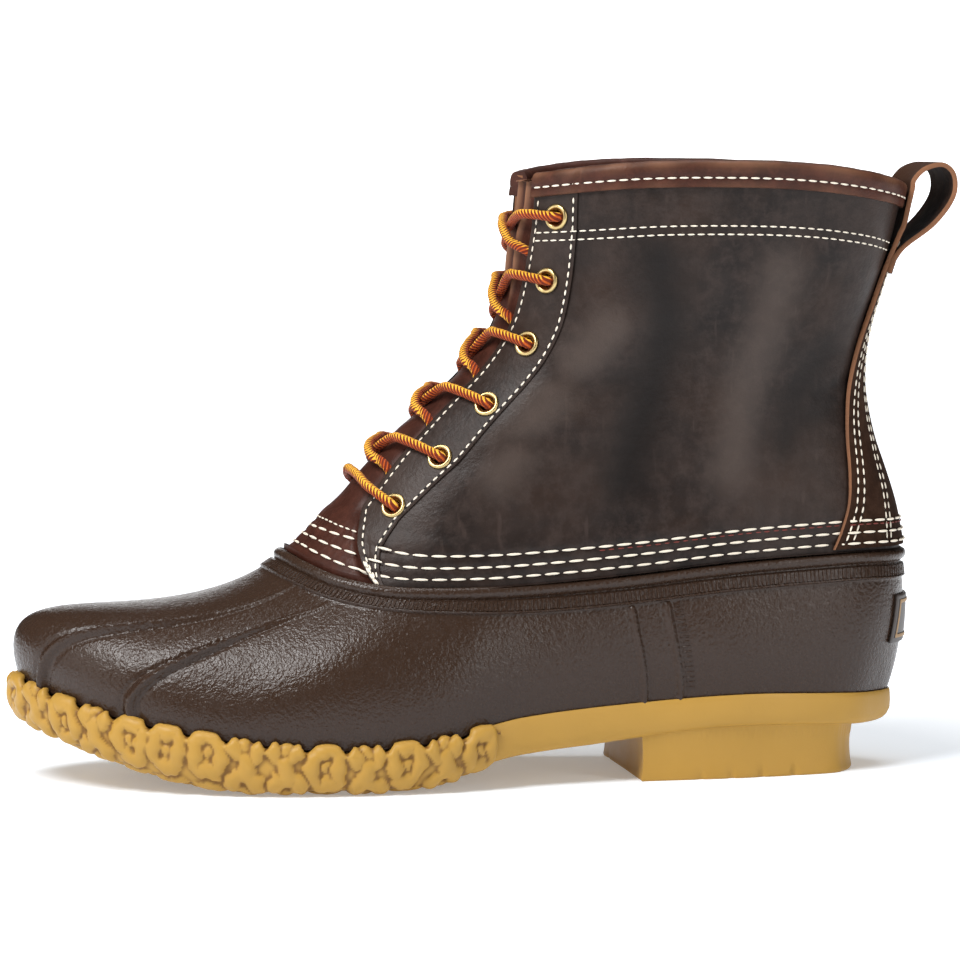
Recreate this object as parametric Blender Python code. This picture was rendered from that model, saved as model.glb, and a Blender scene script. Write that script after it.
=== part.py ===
"""Left duck boot: a moulded rubber foot on a chain-tread sole, with a laced leather shaft.

Metres, +Z up, toe to -X, outer side of the foot to -Y. The origin is below the middle of the
boot, on the floor. Tables hold shares of the named sizes, one row for each section.
"""
import math

import bmesh
import bpy
from mathutils import Matrix, Vector

# Driving sizes
MM = 0.001
LENGTH = 302.0 * MM
BALL_WIDTH = 101.0 * MM
RIM_HEIGHT = 73.5 * MM
COLLAR_HEIGHT = 200.2 * MM
COLLAR_SIDE_RISE = 3.2 * MM
RUBBER_WALL = 2.5 * MM
LEATHER_WALL = 2.0 * MM
FACING_STEP = 0.8 * MM
TONGUE_WALL = 1.8 * MM
TONGUE_CROWN = 1.2 * MM
CLEARANCE = 0.35 * MM
FLANGE_GAP = 0.9 * MM
EYELET_SEAT = 0.5 * MM
FLANGE_HEIGHT = 16.0 * MM
FLANGE_WALL = 1.4 * MM
ROLL_HEIGHT = 3.4 * MM
ROLL_PROUD = 2.1 * MM
LEDGE_LAND = 1.4 * MM
LEDGE_GAP = 0.7 * MM
BAND_HEIGHT = 4.6 * MM
BAND_PROUD = 1.2 * MM
RIDGE_PROUD = 1.7 * MM
RIDGE_HALF_WIDTH = 2.4 * MM
SIDE_RIDGE_PROUD = 0.9 * MM
SIDE_RIDGE_HALF_WIDTH = 1.5 * MM
WEDGE_THICKNESS = 10.3 * MM
CHAIN_PITCH = 13.0 * MM
CHAIN_PROUD = 3.4 * MM
CHAIN_DEPTH = 1.5 * MM
LIP_GAP = 1.6 * MM
HEEL_TAPER = 1.0 * MM
INSOLE_THICKNESS = 3.5 * MM
BINDING_WALL = 1.2 * MM
BINDING_HEIGHT = 7.0 * MM
STRAP_WALL = 1.6 * MM
LOOP_REACH = 17.0 * MM
LOOP_RISE = 7.0 * MM
PATCH_WIDTH = 30.0 * MM
PATCH_HEIGHT = 16.5 * MM
PATCH_DROP = 15.0 * MM
PATCH_PROUD = 0.9 * MM
EYELET_RADIUS = 4.0 * MM
EYELET_BORE = 2.1 * MM
EYELET_FLANGE = 0.6 * MM
EYELET_BARREL_WALL = 0.4 * MM
LACE_DIAMETER = 3.2 * MM

# Rubber foot, a row for each section from the back round the outer side, toe and inner side.
# Feather and rim along are shares of LENGTH from the toe, across are shares of BALL_WIDTH,
# rim up and the four wall handles are shares of RIM_HEIGHT.
FOOT_COLUMNS = ("feather_along", "feather_across", "rim_along", "rim_across", "rim_up",
                "low_out", "low_up", "high_out", "high_down")
FOOT = (
    (0.982, -0.020, 0.993, -0.010, 1.000, 0.07, 0.19, 0.05, 0.22),
    (0.952, -0.170, 0.972, -0.180, 1.004, 0.07, 0.19, 0.05, 0.22),
    (0.902, -0.272, 0.912, -0.277, 1.007, 0.07, 0.19, 0.05, 0.22),
    (0.795, -0.337, 0.783, -0.337, 0.980, 0.07, 0.19, 0.05, 0.22),
    (0.680, -0.352, 0.662, -0.361, 0.933, 0.05, 0.19, 0.05, 0.22),
    (0.551, -0.416, 0.565, -0.373, 0.903, 0.05, 0.19, 0.07, 0.19),
    (0.435, -0.495, 0.485, -0.376, 0.888, 0.07, 0.25, 0.11, 0.16),
    (0.306, -0.500, 0.406, -0.351, 0.890, 0.07, 0.29, 0.15, 0.15),
    (0.187, -0.416, 0.353, -0.272, 0.925, 0.06, 0.22, 0.21, 0.18),
    (0.094, -0.267, 0.321, -0.163, 0.977, 0.09, 0.30, 0.40, 0.28),
    (0.031, -0.069, 0.306, -0.069, 1.011, 0.12, 0.45, 0.52, 0.35),
    (0.010, 0.099, 0.301, 0.030, 1.020, 0.13, 0.50, 0.54, 0.37),
    (0.035, 0.238, 0.310, 0.119, 1.004, 0.12, 0.38, 0.49, 0.35),
    (0.104, 0.371, 0.329, 0.208, 0.962, 0.09, 0.27, 0.38, 0.27),
    (0.204, 0.460, 0.366, 0.287, 0.920, 0.06, 0.22, 0.21, 0.18),
    (0.320, 0.480, 0.419, 0.342, 0.893, 0.07, 0.29, 0.14, 0.15),
    (0.445, 0.426, 0.495, 0.361, 0.888, 0.07, 0.25, 0.11, 0.16),
    (0.558, 0.347, 0.571, 0.353, 0.905, 0.05, 0.19, 0.07, 0.19),
    (0.680, 0.297, 0.662, 0.337, 0.933, 0.05, 0.19, 0.05, 0.22),
    (0.795, 0.287, 0.783, 0.312, 0.980, 0.07, 0.19, 0.05, 0.22),
    (0.899, 0.243, 0.909, 0.257, 1.007, 0.07, 0.19, 0.05, 0.22),
    (0.952, 0.139, 0.972, 0.153, 1.004, 0.07, 0.19, 0.05, 0.22),
)
TOE = 11.0
AROUND = float(len(FOOT))

# Floor inside the foot: share of LENGTH from the toe, share of RIM_HEIGHT.
FLOOR = ((-0.02, 0.53), (0.01, 0.503), (0.033, 0.467), (0.095, 0.386), (0.195, 0.305),
         (0.31, 0.254), (0.44, 0.264), (0.555, 0.319), (0.68, 0.354), (0.795, 0.377),
         (0.90, 0.363), (0.952, 0.349), (1.02, 0.335))

# Under the forefoot: share of LENGTH from the toe, share of RIM_HEIGHT.
TREAD = ((-0.02, 0.34), (0.0, 0.31), (0.05, 0.235), (0.104, 0.155), (0.154, 0.085),
         (0.204, 0.027), (0.253, 0.0), (0.386, 0.0), (0.435, 0.014), (0.47, 0.048),
         (0.51, 0.11))
CHAIN_END = 0.505

# Leather shaft, a row for each height share from the rim to the collar. Front and back are
# shares of LENGTH from the toe, outer and inner are shares of BALL_WIDTH, round goes from the
# rim's own outline to the collar's oval.
SHAFT_COLUMNS = ("height", "front", "back", "outer", "inner", "round")
SHAFT = (
    (0.00, 0.301, 0.993, 0.376, 0.361, 0.00),
    (0.08, 0.334, 0.987, 0.370, 0.356, 0.10),
    (0.17, 0.365, 0.978, 0.356, 0.347, 0.20),
    (0.27, 0.401, 0.967, 0.342, 0.332, 0.30),
    (0.38, 0.446, 0.956, 0.332, 0.327, 0.40),
    (0.49, 0.495, 0.952, 0.332, 0.327, 0.50),
    (0.60, 0.529, 0.957, 0.347, 0.342, 0.65),
    (0.72, 0.545, 0.975, 0.376, 0.366, 0.80),
    (0.86, 0.553, 0.992, 0.406, 0.396, 0.90),
    (1.00, 0.559, 1.003, 0.426, 0.416, 1.00),
)
COLLAR_SQUARENESS = 2.5

# Throat and facing: height share, half gap as a share of BALL_WIDTH, facing width as a share
# of BALL_WIDTH.
THROAT = ((0.00, 0.330, 0.030), (0.08, 0.240, 0.090), (0.15, 0.190, 0.150), (0.30, 0.180, 0.200),
          (0.60, 0.183, 0.200), (0.80, 0.188, 0.185), (1.00, 0.190, 0.170))

# Eyelets from the top down: height share, setback from the throat edge as a share of
# BALL_WIDTH.
EYELETS = ((0.900, 0.082), (0.740, 0.098), (0.580, 0.108), (0.432, 0.110), (0.302, 0.110),
           (0.176, 0.112))

# Back strap: height share, half width as a share of BALL_WIDTH.
STRAP = ((0.01, 0.415), (0.12, 0.345), (0.25, 0.285), (0.38, 0.245), (0.50, 0.205),
         (0.62, 0.165), (0.74, 0.140), (0.86, 0.129), (1.00, 0.129))

# Place of each lace crossing between its eyelets, from the top down.
CROSSINGS = (0.66, 0.52, 0.60, 0.72, 0.72)

# Heel block outline: share of LENGTH from the toe, share of BALL_WIDTH, mirrored by its rows.
HEEL = ((0.677, -0.347, 0.290), (0.795, -0.330, 0.280), (0.885, -0.277, 0.230),
        (0.920, -0.215, 0.165), (0.936, -0.115, 0.075))


def smooth_table(rows, where, column):
    """Value of a table's column at a place in its first column, on one smooth curve."""
    last = len(rows) - 1
    k = 0
    while k < last - 1 and where > rows[k + 1][0]:
        k += 1
    span = rows[k + 1][0] - rows[k][0]
    t = (where - rows[k][0]) / span

    def slope(n):
        a = max(n - 1, 0)
        b = min(n + 1, last)
        return (rows[b][column] - rows[a][column]) / (rows[b][0] - rows[a][0]) * span

    p0 = rows[k][column]
    p1 = rows[k + 1][column]
    m0 = slope(k)
    m1 = slope(k + 1)
    return (p0 + m0 * t + (3.0 * (p1 - p0) - 2.0 * m0 - m1) * t * t
            + (2.0 * (p0 - p1) + m0 + m1) * t * t * t)


def straight_table(rows, where, column):
    """Value of a table's column at a place in its first column, on straight stretches."""
    k = 0
    while k < len(rows) - 2 and where > rows[k + 1][0]:
        k += 1
    t = (where - rows[k][0]) / (rows[k + 1][0] - rows[k][0])
    t = min(max(t, 0.0), 1.0)
    return rows[k][column] + (rows[k + 1][column] - rows[k][column]) * t


def foot_row(u):
    """The foot table's columns at section u, on a closed smooth curve through its rows."""
    count = len(FOOT)
    k = math.floor(u)
    t = u - k
    a, b, c, d = (FOOT[(k + n) % count] for n in (-1, 0, 1, 2))
    values = {}
    for i, name in enumerate(FOOT_COLUMNS):
        m0 = (c[i] - a[i]) / 2.0
        m1 = (d[i] - b[i]) / 2.0
        rise = c[i] - b[i]
        values[name] = (b[i] + m0 * t + (3.0 * rise - 2.0 * m0 - m1) * t * t
                        + (m0 + m1 - 2.0 * rise) * t * t * t)
    return values


def along(share):
    """X of a share of the length, counted from the toe."""
    return (share - 0.5) * LENGTH


def floor_z(x):
    """Height of the foot's floor at x."""
    return smooth_table(FLOOR, x / LENGTH + 0.5, 1) * RIM_HEIGHT


def feather(u):
    """Lower edge of the rubber foot at section u."""
    row = foot_row(u)
    x = along(row["feather_along"])
    return Vector((x, row["feather_across"] * BALL_WIDTH, floor_z(x)))


def rim(u):
    """Ledge where the leather starts, at section u."""
    row = foot_row(u)
    return Vector((along(row["rim_along"]), row["rim_across"] * BALL_WIDTH,
                   row["rim_up"] * RIM_HEIGHT))


def outward(curve, u):
    """Level direction that points out of a closed curve at section u."""
    step = curve(u + 0.02) - curve(u - 0.02)
    return Vector((step.y, -step.x, 0.0)).normalized() * -1.0


def meridian(u, t):
    """Point of the foot's wall: section u, from the feather at t = 0 to the rim at t = 1."""
    row = foot_row(u)
    low = feather(u)
    high = rim(u)
    low_handle = low + outward(feather, u) * row["low_out"] * RIM_HEIGHT
    low_handle.z += row["low_up"] * RIM_HEIGHT
    high_handle = high + outward(rim, u) * row["high_out"] * RIM_HEIGHT
    high_handle.z -= row["high_down"] * RIM_HEIGHT
    s = 1.0 - t
    return (low * s ** 3 + low_handle * 3.0 * s * s * t + high_handle * 3.0 * s * t * t
            + high * t ** 3)


MERIDIAN_STEPS = 24


def meridian_length(u):
    """Length of the wall's section u, and the running length at each step down from the rim."""
    points = [meridian(u, 1.0 - n / MERIDIAN_STEPS) for n in range(MERIDIAN_STEPS + 1)]
    running = [0.0]
    for a, b in zip(points, points[1:]):
        running.append(running[-1] + (b - a).length)
    return running


def wall_point(u, drop, offset=0.0):
    """Point of the foot's wall at a distance down from the rim, moved out by offset."""
    running = meridian_length(u)
    n = 0
    while n < MERIDIAN_STEPS - 1 and drop > running[n + 1]:
        n += 1
    t = 1.0 - (n + (drop - running[n]) / (running[n + 1] - running[n])) / MERIDIAN_STEPS
    point = meridian(u, t)
    if offset:
        side = meridian(u + 0.03, t) - meridian(u - 0.03, t)
        up = meridian(u, t + 0.01) - meridian(u, t - 0.01)
        point += up.cross(side).normalized() * offset
    return point


def shaft_point(u, height, offset=0.0):
    """Point of the leather's outer face at section u and height share, moved out by offset."""
    if offset:
        side = shaft_point(u + 0.03, height) - shaft_point(u - 0.03, height)
        up = shaft_point(u, height + 0.004) - shaft_point(u, height - 0.004)
        return shaft_point(u, height) + up.cross(side).normalized() * offset
    values = {name: smooth_table(SHAFT, height, n) for n, name in enumerate(SHAFT_COLUMNS)}
    start = dict(zip(SHAFT_COLUMNS, SHAFT[0]))
    base = rim(u)
    side_name = "outer" if base.y < 0.0 else "inner"
    middle = along((start["front"] + start["back"]) / 2.0)
    half = (start["back"] - start["front"]) / 2.0 * LENGTH
    long_share = (base.x - middle) / half
    wide_share = base.y / (start[side_name] * BALL_WIDTH)
    angle = math.atan2(wide_share, long_share)
    power = 2.0 / COLLAR_SQUARENESS
    oval_long = math.copysign(abs(math.cos(angle)) ** power, math.cos(angle))
    oval_wide = math.copysign(abs(math.sin(angle)) ** power, math.sin(angle))
    blend = values["round"]
    x = (along((values["front"] + values["back"]) / 2.0)
         + (long_share + (oval_long - long_share) * blend)
         * (values["back"] - values["front"]) / 2.0 * LENGTH)
    y = (wide_share + (oval_wide - wide_share) * blend) * values[side_name] * BALL_WIDTH
    top = COLLAR_HEIGHT - COLLAR_SIDE_RISE * math.cos(2.0 * angle)
    return Vector((x, y, base.z + (top - base.z) * height))


def wall_foot(u, offset, lift):
    """Point of the leather's wall, moved out by offset, at a lift above the rubber's ledge."""
    ledge = rim(u).z
    start = shaft_point(u, 0.0, offset)
    point = shaft_point(u, (ledge + lift - start.z) / (COLLAR_HEIGHT - ledge), offset)
    point.z = ledge + lift
    return point


def throat_u(height, side):
    """Section where the throat edge crosses a height share: side -1 is outer, +1 is inner."""
    target = straight_table(THROAT, height, 1) * BALL_WIDTH
    near = TOE
    far = TOE + side * 5.0
    for _ in range(30):
        middle = (near + far) / 2.0
        if abs(shaft_point(middle, height).y) < target and side * (middle - TOE) < 5.0:
            near = middle
        else:
            far = middle
    return near


def step_along(u, height, distance):
    """Section reached from u after a distance along the shaft's ring; its sign gives the way."""
    steps = 6
    for _ in range(steps):
        here = shaft_point(u, height)
        reach = (shaft_point(u + 0.02, height) - here).length / 0.02
        u += distance / steps / reach
    return u


# Builders of closed bodies

def body(name, bm, colour, roughness, metallic=0.0):
    """Object of a finished bmesh, smooth but for its corners, with its own material."""
    bmesh.ops.recalc_face_normals(bm, faces=bm.faces)
    mesh = bpy.data.meshes.new(name)
    bm.to_mesh(mesh)
    bm.free()
    mesh.shade_smooth()
    mesh.set_sharp_from_angle(angle=math.radians(35.0))
    thing = bpy.data.objects.new(name, mesh)
    bpy.context.scene.collection.objects.link(thing)
    mesh.materials.append(finish(name, colour, roughness, metallic))
    return thing


def finish(name, colour, roughness, metallic):
    """Principled material of one piece."""
    material = bpy.data.materials.new(name + "_finish")
    material.use_nodes = True
    shader = material.node_tree.nodes["Principled BSDF"]
    shader.inputs["Base Color"].default_value = (*colour, 1.0)
    shader.inputs["Roughness"].default_value = roughness
    shader.inputs["Metallic"].default_value = metallic
    return material


def strip(bm, first, second, closed):
    """Quads between two rows of vertices."""
    count = len(first)
    for n in range(count if closed else count - 1):
        m = (n + 1) % count
        bm.faces.new((first[n], first[m], second[m], second[n]))


def swept(loops, closed):
    """Bmesh of closed loops joined in order, in a ring or with its two ends closed."""
    bm = bmesh.new()
    rows = [[bm.verts.new(p) for p in loop] for loop in loops]
    for a, b in zip(rows, rows[1:]):
        strip(bm, a, b, True)
    if closed:
        strip(bm, rows[-1], rows[0], True)
        return bm
    half = len(rows[0]) // 2
    for row in (rows[0], rows[-1]):
        strip(bm, row[:half], row[:half - 1:-1], False)
    return bm


def stacked(rings):
    """Bmesh of rings joined from top to bottom. Point n of a ring faces point count - n."""
    bm = bmesh.new()
    rows = [[bm.verts.new(p) for p in ring] for ring in rings]
    for a, b in zip(rows, rows[1:]):
        strip(bm, a, b, True)
    count = len(rows[0])
    half = count // 2
    for row in (rows[0], rows[-1]):
        bm.faces.new((row[0], row[1], row[count - 1]))
        for n in range(1, half - 1):
            bm.faces.new((row[n], row[n + 1], row[count - n - 1], row[count - n]))
        bm.faces.new((row[half - 1], row[half], row[half + 1]))
    return bm


def sheet(faces_out, faces_in, closed=False):
    """Bmesh of a wall from two grids of points, a column of each for each section."""
    return swept([a + b[::-1] for a, b in zip(faces_out, faces_in)], closed)


# Rubber foot and sole

RUBBER = (0.055, 0.036, 0.028)
SOLE_TAN = (0.56, 0.33, 0.075)
LEATHER_DARK = (0.045, 0.032, 0.027)
LEATHER_RED = (0.085, 0.030, 0.020)
LEATHER_EDGE = (0.30, 0.12, 0.05)
BRASS = (0.80, 0.58, 0.25)
LACE_GOLD = (0.75, 0.30, 0.03)
INSOLE_COLOUR = (0.10, 0.07, 0.05)

TOE_RIDGES = (8.68, 12.4)
SIDE_RIDGES = (3.66, 4.0, 18.0, 18.34)
FOOT_SECTIONS = 40


def ridge_half_width(u, half_width):
    """Half width of a ridge in sections of the foot."""
    return half_width / ((feather(u + 0.1) - feather(u - 0.1)).length / 0.2)


def ridge_bump(u, share):
    """How far the ridges stand out at section u, with share 0 at the rim and 1 at the feather."""
    proud = 0.0
    for places, half_width, height, fade in (
            (TOE_RIDGES, RIDGE_HALF_WIDTH, RIDGE_PROUD, 0.30),
            (SIDE_RIDGES, SIDE_RIDGE_HALF_WIDTH, SIDE_RIDGE_PROUD, 0.12)):
        for place in places:
            far = abs(u - place) / ridge_half_width(place, half_width)
            if far < 1.0:
                ends = min(share / fade, 1.0) * min((1.0 - share) / 0.1, 1.0)
                proud = height * min((1.0 - far) / 0.6, 1.0) * ends
    return proud


def foot_sections():
    """Sections of the rubber foot, with more at each ridge."""
    places = []
    ridges = [(p, ridge_half_width(p, RIDGE_HALF_WIDTH)) for p in TOE_RIDGES]
    ridges += [(p, ridge_half_width(p, SIDE_RIDGE_HALF_WIDTH)) for p in SIDE_RIDGES]
    for n in range(FOOT_SECTIONS):
        u = n * AROUND / FOOT_SECTIONS
        if all(abs(u - p) > 1.6 * w for p, w in ridges):
            places.append(u)
    for p, w in ridges:
        places += [p - w, p + w]
        places += [p - 0.4 * w, p + 0.4 * w] if p in TOE_RIDGES else [p]
    return sorted(places)


def flange_share():
    """Height share of the rubber flange behind the leather."""
    return FLANGE_HEIGHT / (COLLAR_HEIGHT - RIM_HEIGHT)


def foot_loop(u):
    """Closed section of the rubber foot: up its face, over the roll, up and down the flange."""
    full = meridian_length(u)[-1]
    band_top = ROLL_HEIGHT + 1.0 * MM
    band_bottom = band_top + BAND_HEIGHT
    plain_top = band_bottom + 0.8 * MM
    points = []
    for share in (1.0, 0.9, 0.75, 0.57, 0.38, 0.2, 0.0):
        drop = plain_top + (full - plain_top) * share
        points.append(wall_point(u, drop, ridge_bump(u, share)))
    points[0].z = floor_z(points[0].x)
    for drop, offset in ((band_bottom, BAND_PROUD), (band_top + 0.3 * MM, BAND_PROUD),
                         (ROLL_HEIGHT, 0.5 * MM), (0.7 * ROLL_HEIGHT, ROLL_PROUD),
                         (0.25 * ROLL_HEIGHT, ROLL_PROUD)):
        points.append(wall_point(u, drop, offset))
    points.append(rim(u) + outward(rim, u) * LEDGE_LAND)
    behind = -(LEATHER_WALL + FLANGE_GAP)
    points.append(wall_foot(u, behind, 0.0))
    points.append(shaft_point(u, 0.5 * flange_share(), behind))
    points.append(shaft_point(u, flange_share(), behind))
    points.append(shaft_point(u, flange_share(), behind - FLANGE_WALL))
    points.append(wall_foot(u, behind - FLANGE_WALL, -1.0 * MM))
    for share in (0.12, 0.42, 0.68, 0.88, 1.0):
        points.append(wall_point(u, full * share, -RUBBER_WALL - (1.0 - share) * 1.2 * MM))
    points[-1].z = floor_z(points[-1].x)
    return points


def make_rubber_shell():
    """Hollow rubber foot, open above and underneath."""
    body("rubber_shell", swept([foot_loop(u) for u in foot_sections()], True), RUBBER, 0.42)


def feather_lengths():
    """Running length of the feather line from the back, by small steps of u."""
    steps = 440
    running = [0.0]
    for n in range(steps):
        a = feather(n * AROUND / steps)
        b = feather((n + 1) * AROUND / steps)
        running.append(running[-1] + (b - a).length)
    return running


def even_sections(start, end, count):
    """Sections from start to end at even spacing along the feather line."""
    running = feather_lengths()
    steps = len(running) - 1

    def length_at(u):
        place = u * steps / AROUND
        n = min(int(place), steps - 1)
        return running[n] + (running[n + 1] - running[n]) * (place - n)

    low = length_at(start)
    high = length_at(end)
    sections = []
    n = 0
    for k in range(count + 1):
        target = low + (high - low) * k / count
        while n < steps - 1 and running[n + 1] < target:
            n += 1
        part = (target - running[n]) / (running[n + 1] - running[n])
        sections.append((n + part) * AROUND / steps)
    return sections


def chain_end_u(side):
    """Section where the chain tread stops, on the outer (-1) or the inner (+1) side."""
    near = 4.0 if side < 0 else 18.0
    far = 7.0 if side < 0 else 15.0
    for _ in range(30):
        middle = (near + far) / 2.0
        if foot_row(middle)["feather_along"] > CHAIN_END:
            near = middle
        else:
            far = middle
    return near


def half_sections(side, rear_count, link_count):
    """Sections of one side of the sole from the back to the toe.

    Each is a place, 1 in the chain tread or 0 in the wedge, and 1 on a link or 0 between two.
    """
    end = chain_end_u(side)
    back = 0.0 if side < 0 else AROUND
    rear = even_sections(min(back, end), max(back, end), rear_count)
    tread = even_sections(min(end, TOE), max(end, TOE), link_count * 3)
    if side > 0:
        rear.reverse()
        tread.reverse()
    rear[-1] = end + side * 0.012
    sections = [(u, 0.0, 0.0) for u in rear]
    sections += [(u, 1.0, 0.0 if n % 3 == 0 else 1.0) for n, u in enumerate(tread)]
    return sections


def paired(outer, inner):
    """Sections all round, so that each lies across from its partner."""
    return outer + inner[-2:0:-1]


def under_z(x, is_chain):
    """Height of the sole's underside at x, in the chain tread or in the wedge."""
    if is_chain:
        return straight_table(TREAD, x / LENGTH + 0.5, 1) * RIM_HEIGHT
    return floor_z(x) - WEDGE_THICKNESS


def sole_column(u, is_chain, on_link):
    """Points of the sole's edge at a section, from the seat of the foot to under the sole."""
    edge = feather(u)
    way = outward(feather, u)
    top = edge.z
    between = 1.0 - on_link
    if is_chain:
        deep = top - under_z(edge.x, True)
        lip = top + (0.4 + 1.8 * on_link) * MM
        profile = ((LIP_GAP, top - CLEARANCE), (LIP_GAP, lip),
                   (CHAIN_PROUD - between * CHAIN_DEPTH, top - 0.12 * deep),
                   (0.85 * CHAIN_PROUD - between * CHAIN_DEPTH, top - 0.5 * deep),
                   (-0.4 * CHAIN_PROUD - between * CHAIN_DEPTH, top - 0.85 * deep))
        flat = ((-2.2 * CHAIN_PROUD, between * 0.6 * CHAIN_DEPTH), (-4.5 * CHAIN_PROUD, 0.0))
    else:
        deep = WEDGE_THICKNESS
        profile = ((0.9 * MM, top - CLEARANCE), (0.9 * MM, top + 0.3 * MM),
                   (1.1 * MM, top - 0.2 * deep), (0.9 * MM, top - 0.55 * deep),
                   (0.3 * MM, top - 0.88 * deep))
        flat = ((-0.8 * MM, 0.0), (-12.0 * MM, 0.0))
    points = [Vector((edge.x + way.x * out, edge.y + way.y * out, z)) for out, z in profile]
    for out, rise in flat:
        x = edge.x + way.x * out
        points.append(Vector((x, edge.y + way.y * out, under_z(x, is_chain) + rise)))
    return points


def make_outsole():
    """Outsole: knobbed forefoot, step to the smooth arch wedge, and seat over the heel."""
    links = round(feather_lengths()[-1] * 0.27 / CHAIN_PITCH)
    columns = paired(half_sections(-1, 17, links), half_sections(1, 17, links))
    columns = [sole_column(*section) for section in columns]
    body("outsole", stacked([list(ring) for ring in zip(*columns)]), SOLE_TAN, 0.55)


def make_insole():
    """Insole on the sole, inside the rubber foot."""
    outer = even_sections(0.0, TOE, 16)
    inner = even_sections(TOE, AROUND, 16)[::-1]
    inset = RUBBER_WALL + 1.0 * MM
    low = []
    high = []
    for u in paired(outer, inner):
        point = feather(u) - outward(feather, u) * inset
        level = floor_z(point.x) + 0.2 * CLEARANCE
        low.append(Vector((point.x, point.y, level)))
        high.append(Vector((point.x, point.y, level + INSOLE_THICKNESS)))
    body("insole", stacked([high, low]), INSOLE_COLOUR, 0.8)


def make_heel_block():
    """Heel under the seat of the sole, straight across its breast and round at the back."""
    outer = [(along(x), y * BALL_WIDTH) for x, y, _ in HEEL]
    inner = [(along(x), y * BALL_WIDTH) for x, _, y in HEEL]
    back = (along(HEEL[-1][0]) + 0.8 * MM, (outer[-1][1] + inner[-1][1]) / 2.0)
    breast = (outer[0][0], (outer[0][1] + inner[0][1]) / 2.0)
    outline = [back] + outer[::-1] + [breast] + inner
    centre = Vector((along(0.81), breast[1], 0.0))
    rings = []
    for share in (1.0, 0.72, 0.0):
        ring = []
        for x, y in outline:
            top = floor_z(x) - WEDGE_THICKNESS - CLEARANCE
            pull = (centre - Vector((x, y, 0.0))).normalized() * HEEL_TAPER * (1.0 - share)
            ring.append(Vector((x + pull.x, y + pull.y, top * share)))
        rings.append(ring)
    body("heel_block", stacked(rings), SOLE_TAN, 0.55)


# Leather

SHAFT_ROWS = (0.0, 0.06, 0.13, 0.21, 0.31, 0.41, 0.49, 0.58, 0.67, 0.77, 0.87, 0.944, 1.0)
FIXED_SECTIONS = 6.55


def leather_point(u, height, offset):
    """Point of a leather wall, whose lowest row stands just clear of the rubber's ledge."""
    if height > 0.0:
        return shaft_point(u, height, offset)
    return wall_foot(u, offset, LEDGE_GAP)


def shaft_sections(height):
    """Sections of the shaft from the outer throat edge round the back to the inner one.

    Each is a place and 1 on the facing or 0 behind it. Places on the inner side are negative.
    """
    width = straight_table(THROAT, height, 2) * BALL_WIDTH
    sides = []
    for side in (-1, 1):
        edge = throat_u(height, side)
        facing = [step_along(edge, height, side * width * share) for share in (0.0, 0.33, 0.66)]
        facing = [(u, 1) for u in facing]
        facing.append((step_along(edge, height, side * (width - 0.3 * MM)), 1))
        facing.append((step_along(edge, height, side * (width + 0.3 * MM)), 0))
        sides.append(facing)
    outer, inner = sides
    inner = [(u - AROUND, on) for u, on in inner][::-1]
    fixed = [u for u in foot_sections() if u < FIXED_SECTIONS]
    fixed += [u - AROUND for u in foot_sections() if u > AROUND - FIXED_SECTIONS]
    between_outer = (outer[-1][0] + max(fixed)) / 2.0
    between_inner = (inner[0][0] + min(fixed)) / 2.0
    middle = [between_outer] + sorted(fixed, reverse=True) + [between_inner]
    return outer + [(u, 0) for u in middle] + inner


def make_quarters():
    """Leather shaft: one wall, open at collar, throat and below, thicker along the facing."""
    outside = []
    inside = []
    for height in SHAFT_ROWS:
        sections = shaft_sections(height)
        outside.append([leather_point(u, height, on * FACING_STEP) for u, on in sections])
        inside.append([leather_point(u, height, -LEATHER_WALL) for u, _ in sections])
    grid_out = [list(column) for column in zip(*outside)]
    grid_in = [list(column) for column in zip(*inside)]
    quarters = body("quarters", sheet(grid_out, grid_in), LEATHER_DARK, 0.5)
    cutter_mesh = bmesh.new()
    for side in (-1, 1):
        for height, setback in EYELETS:
            bmesh.ops.create_cone(
                cutter_mesh, cap_ends=True, segments=12, radius1=eyelet_hole(),
                radius2=eyelet_hole(), depth=12.0 * MM,
                matrix=eyelet_place(side, height, setback))
    cutter = body("eyelet_hole_cutter", cutter_mesh, LEATHER_DARK, 0.5)
    cutter.hide_render = True
    cutter.display_type = "WIRE"
    cut = quarters.modifiers.new("eyelet_holes", "BOOLEAN")
    cut.operation = "DIFFERENCE"
    cut.solver = "EXACT"
    cut.object = cutter


def eyelet_hole():
    """Radius of the hole in the leather round an eyelet's barrel."""
    return EYELET_BORE + EYELET_BARREL_WALL + CLEARANCE


def eyelet_place(side, height, setback):
    """Matrix of an eyelet: its middle on the facing's face and its Z out of the leather."""
    u = step_along(throat_u(height, side), height, side * setback * BALL_WIDTH)
    spot = shaft_point(u, height, FACING_STEP)
    out = (shaft_point(u, height, FACING_STEP + 5.0 * MM) - spot).normalized()
    turn = out.to_track_quat("Z", "Y").to_matrix().to_4x4()
    return Matrix.Translation(spot) @ turn


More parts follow.
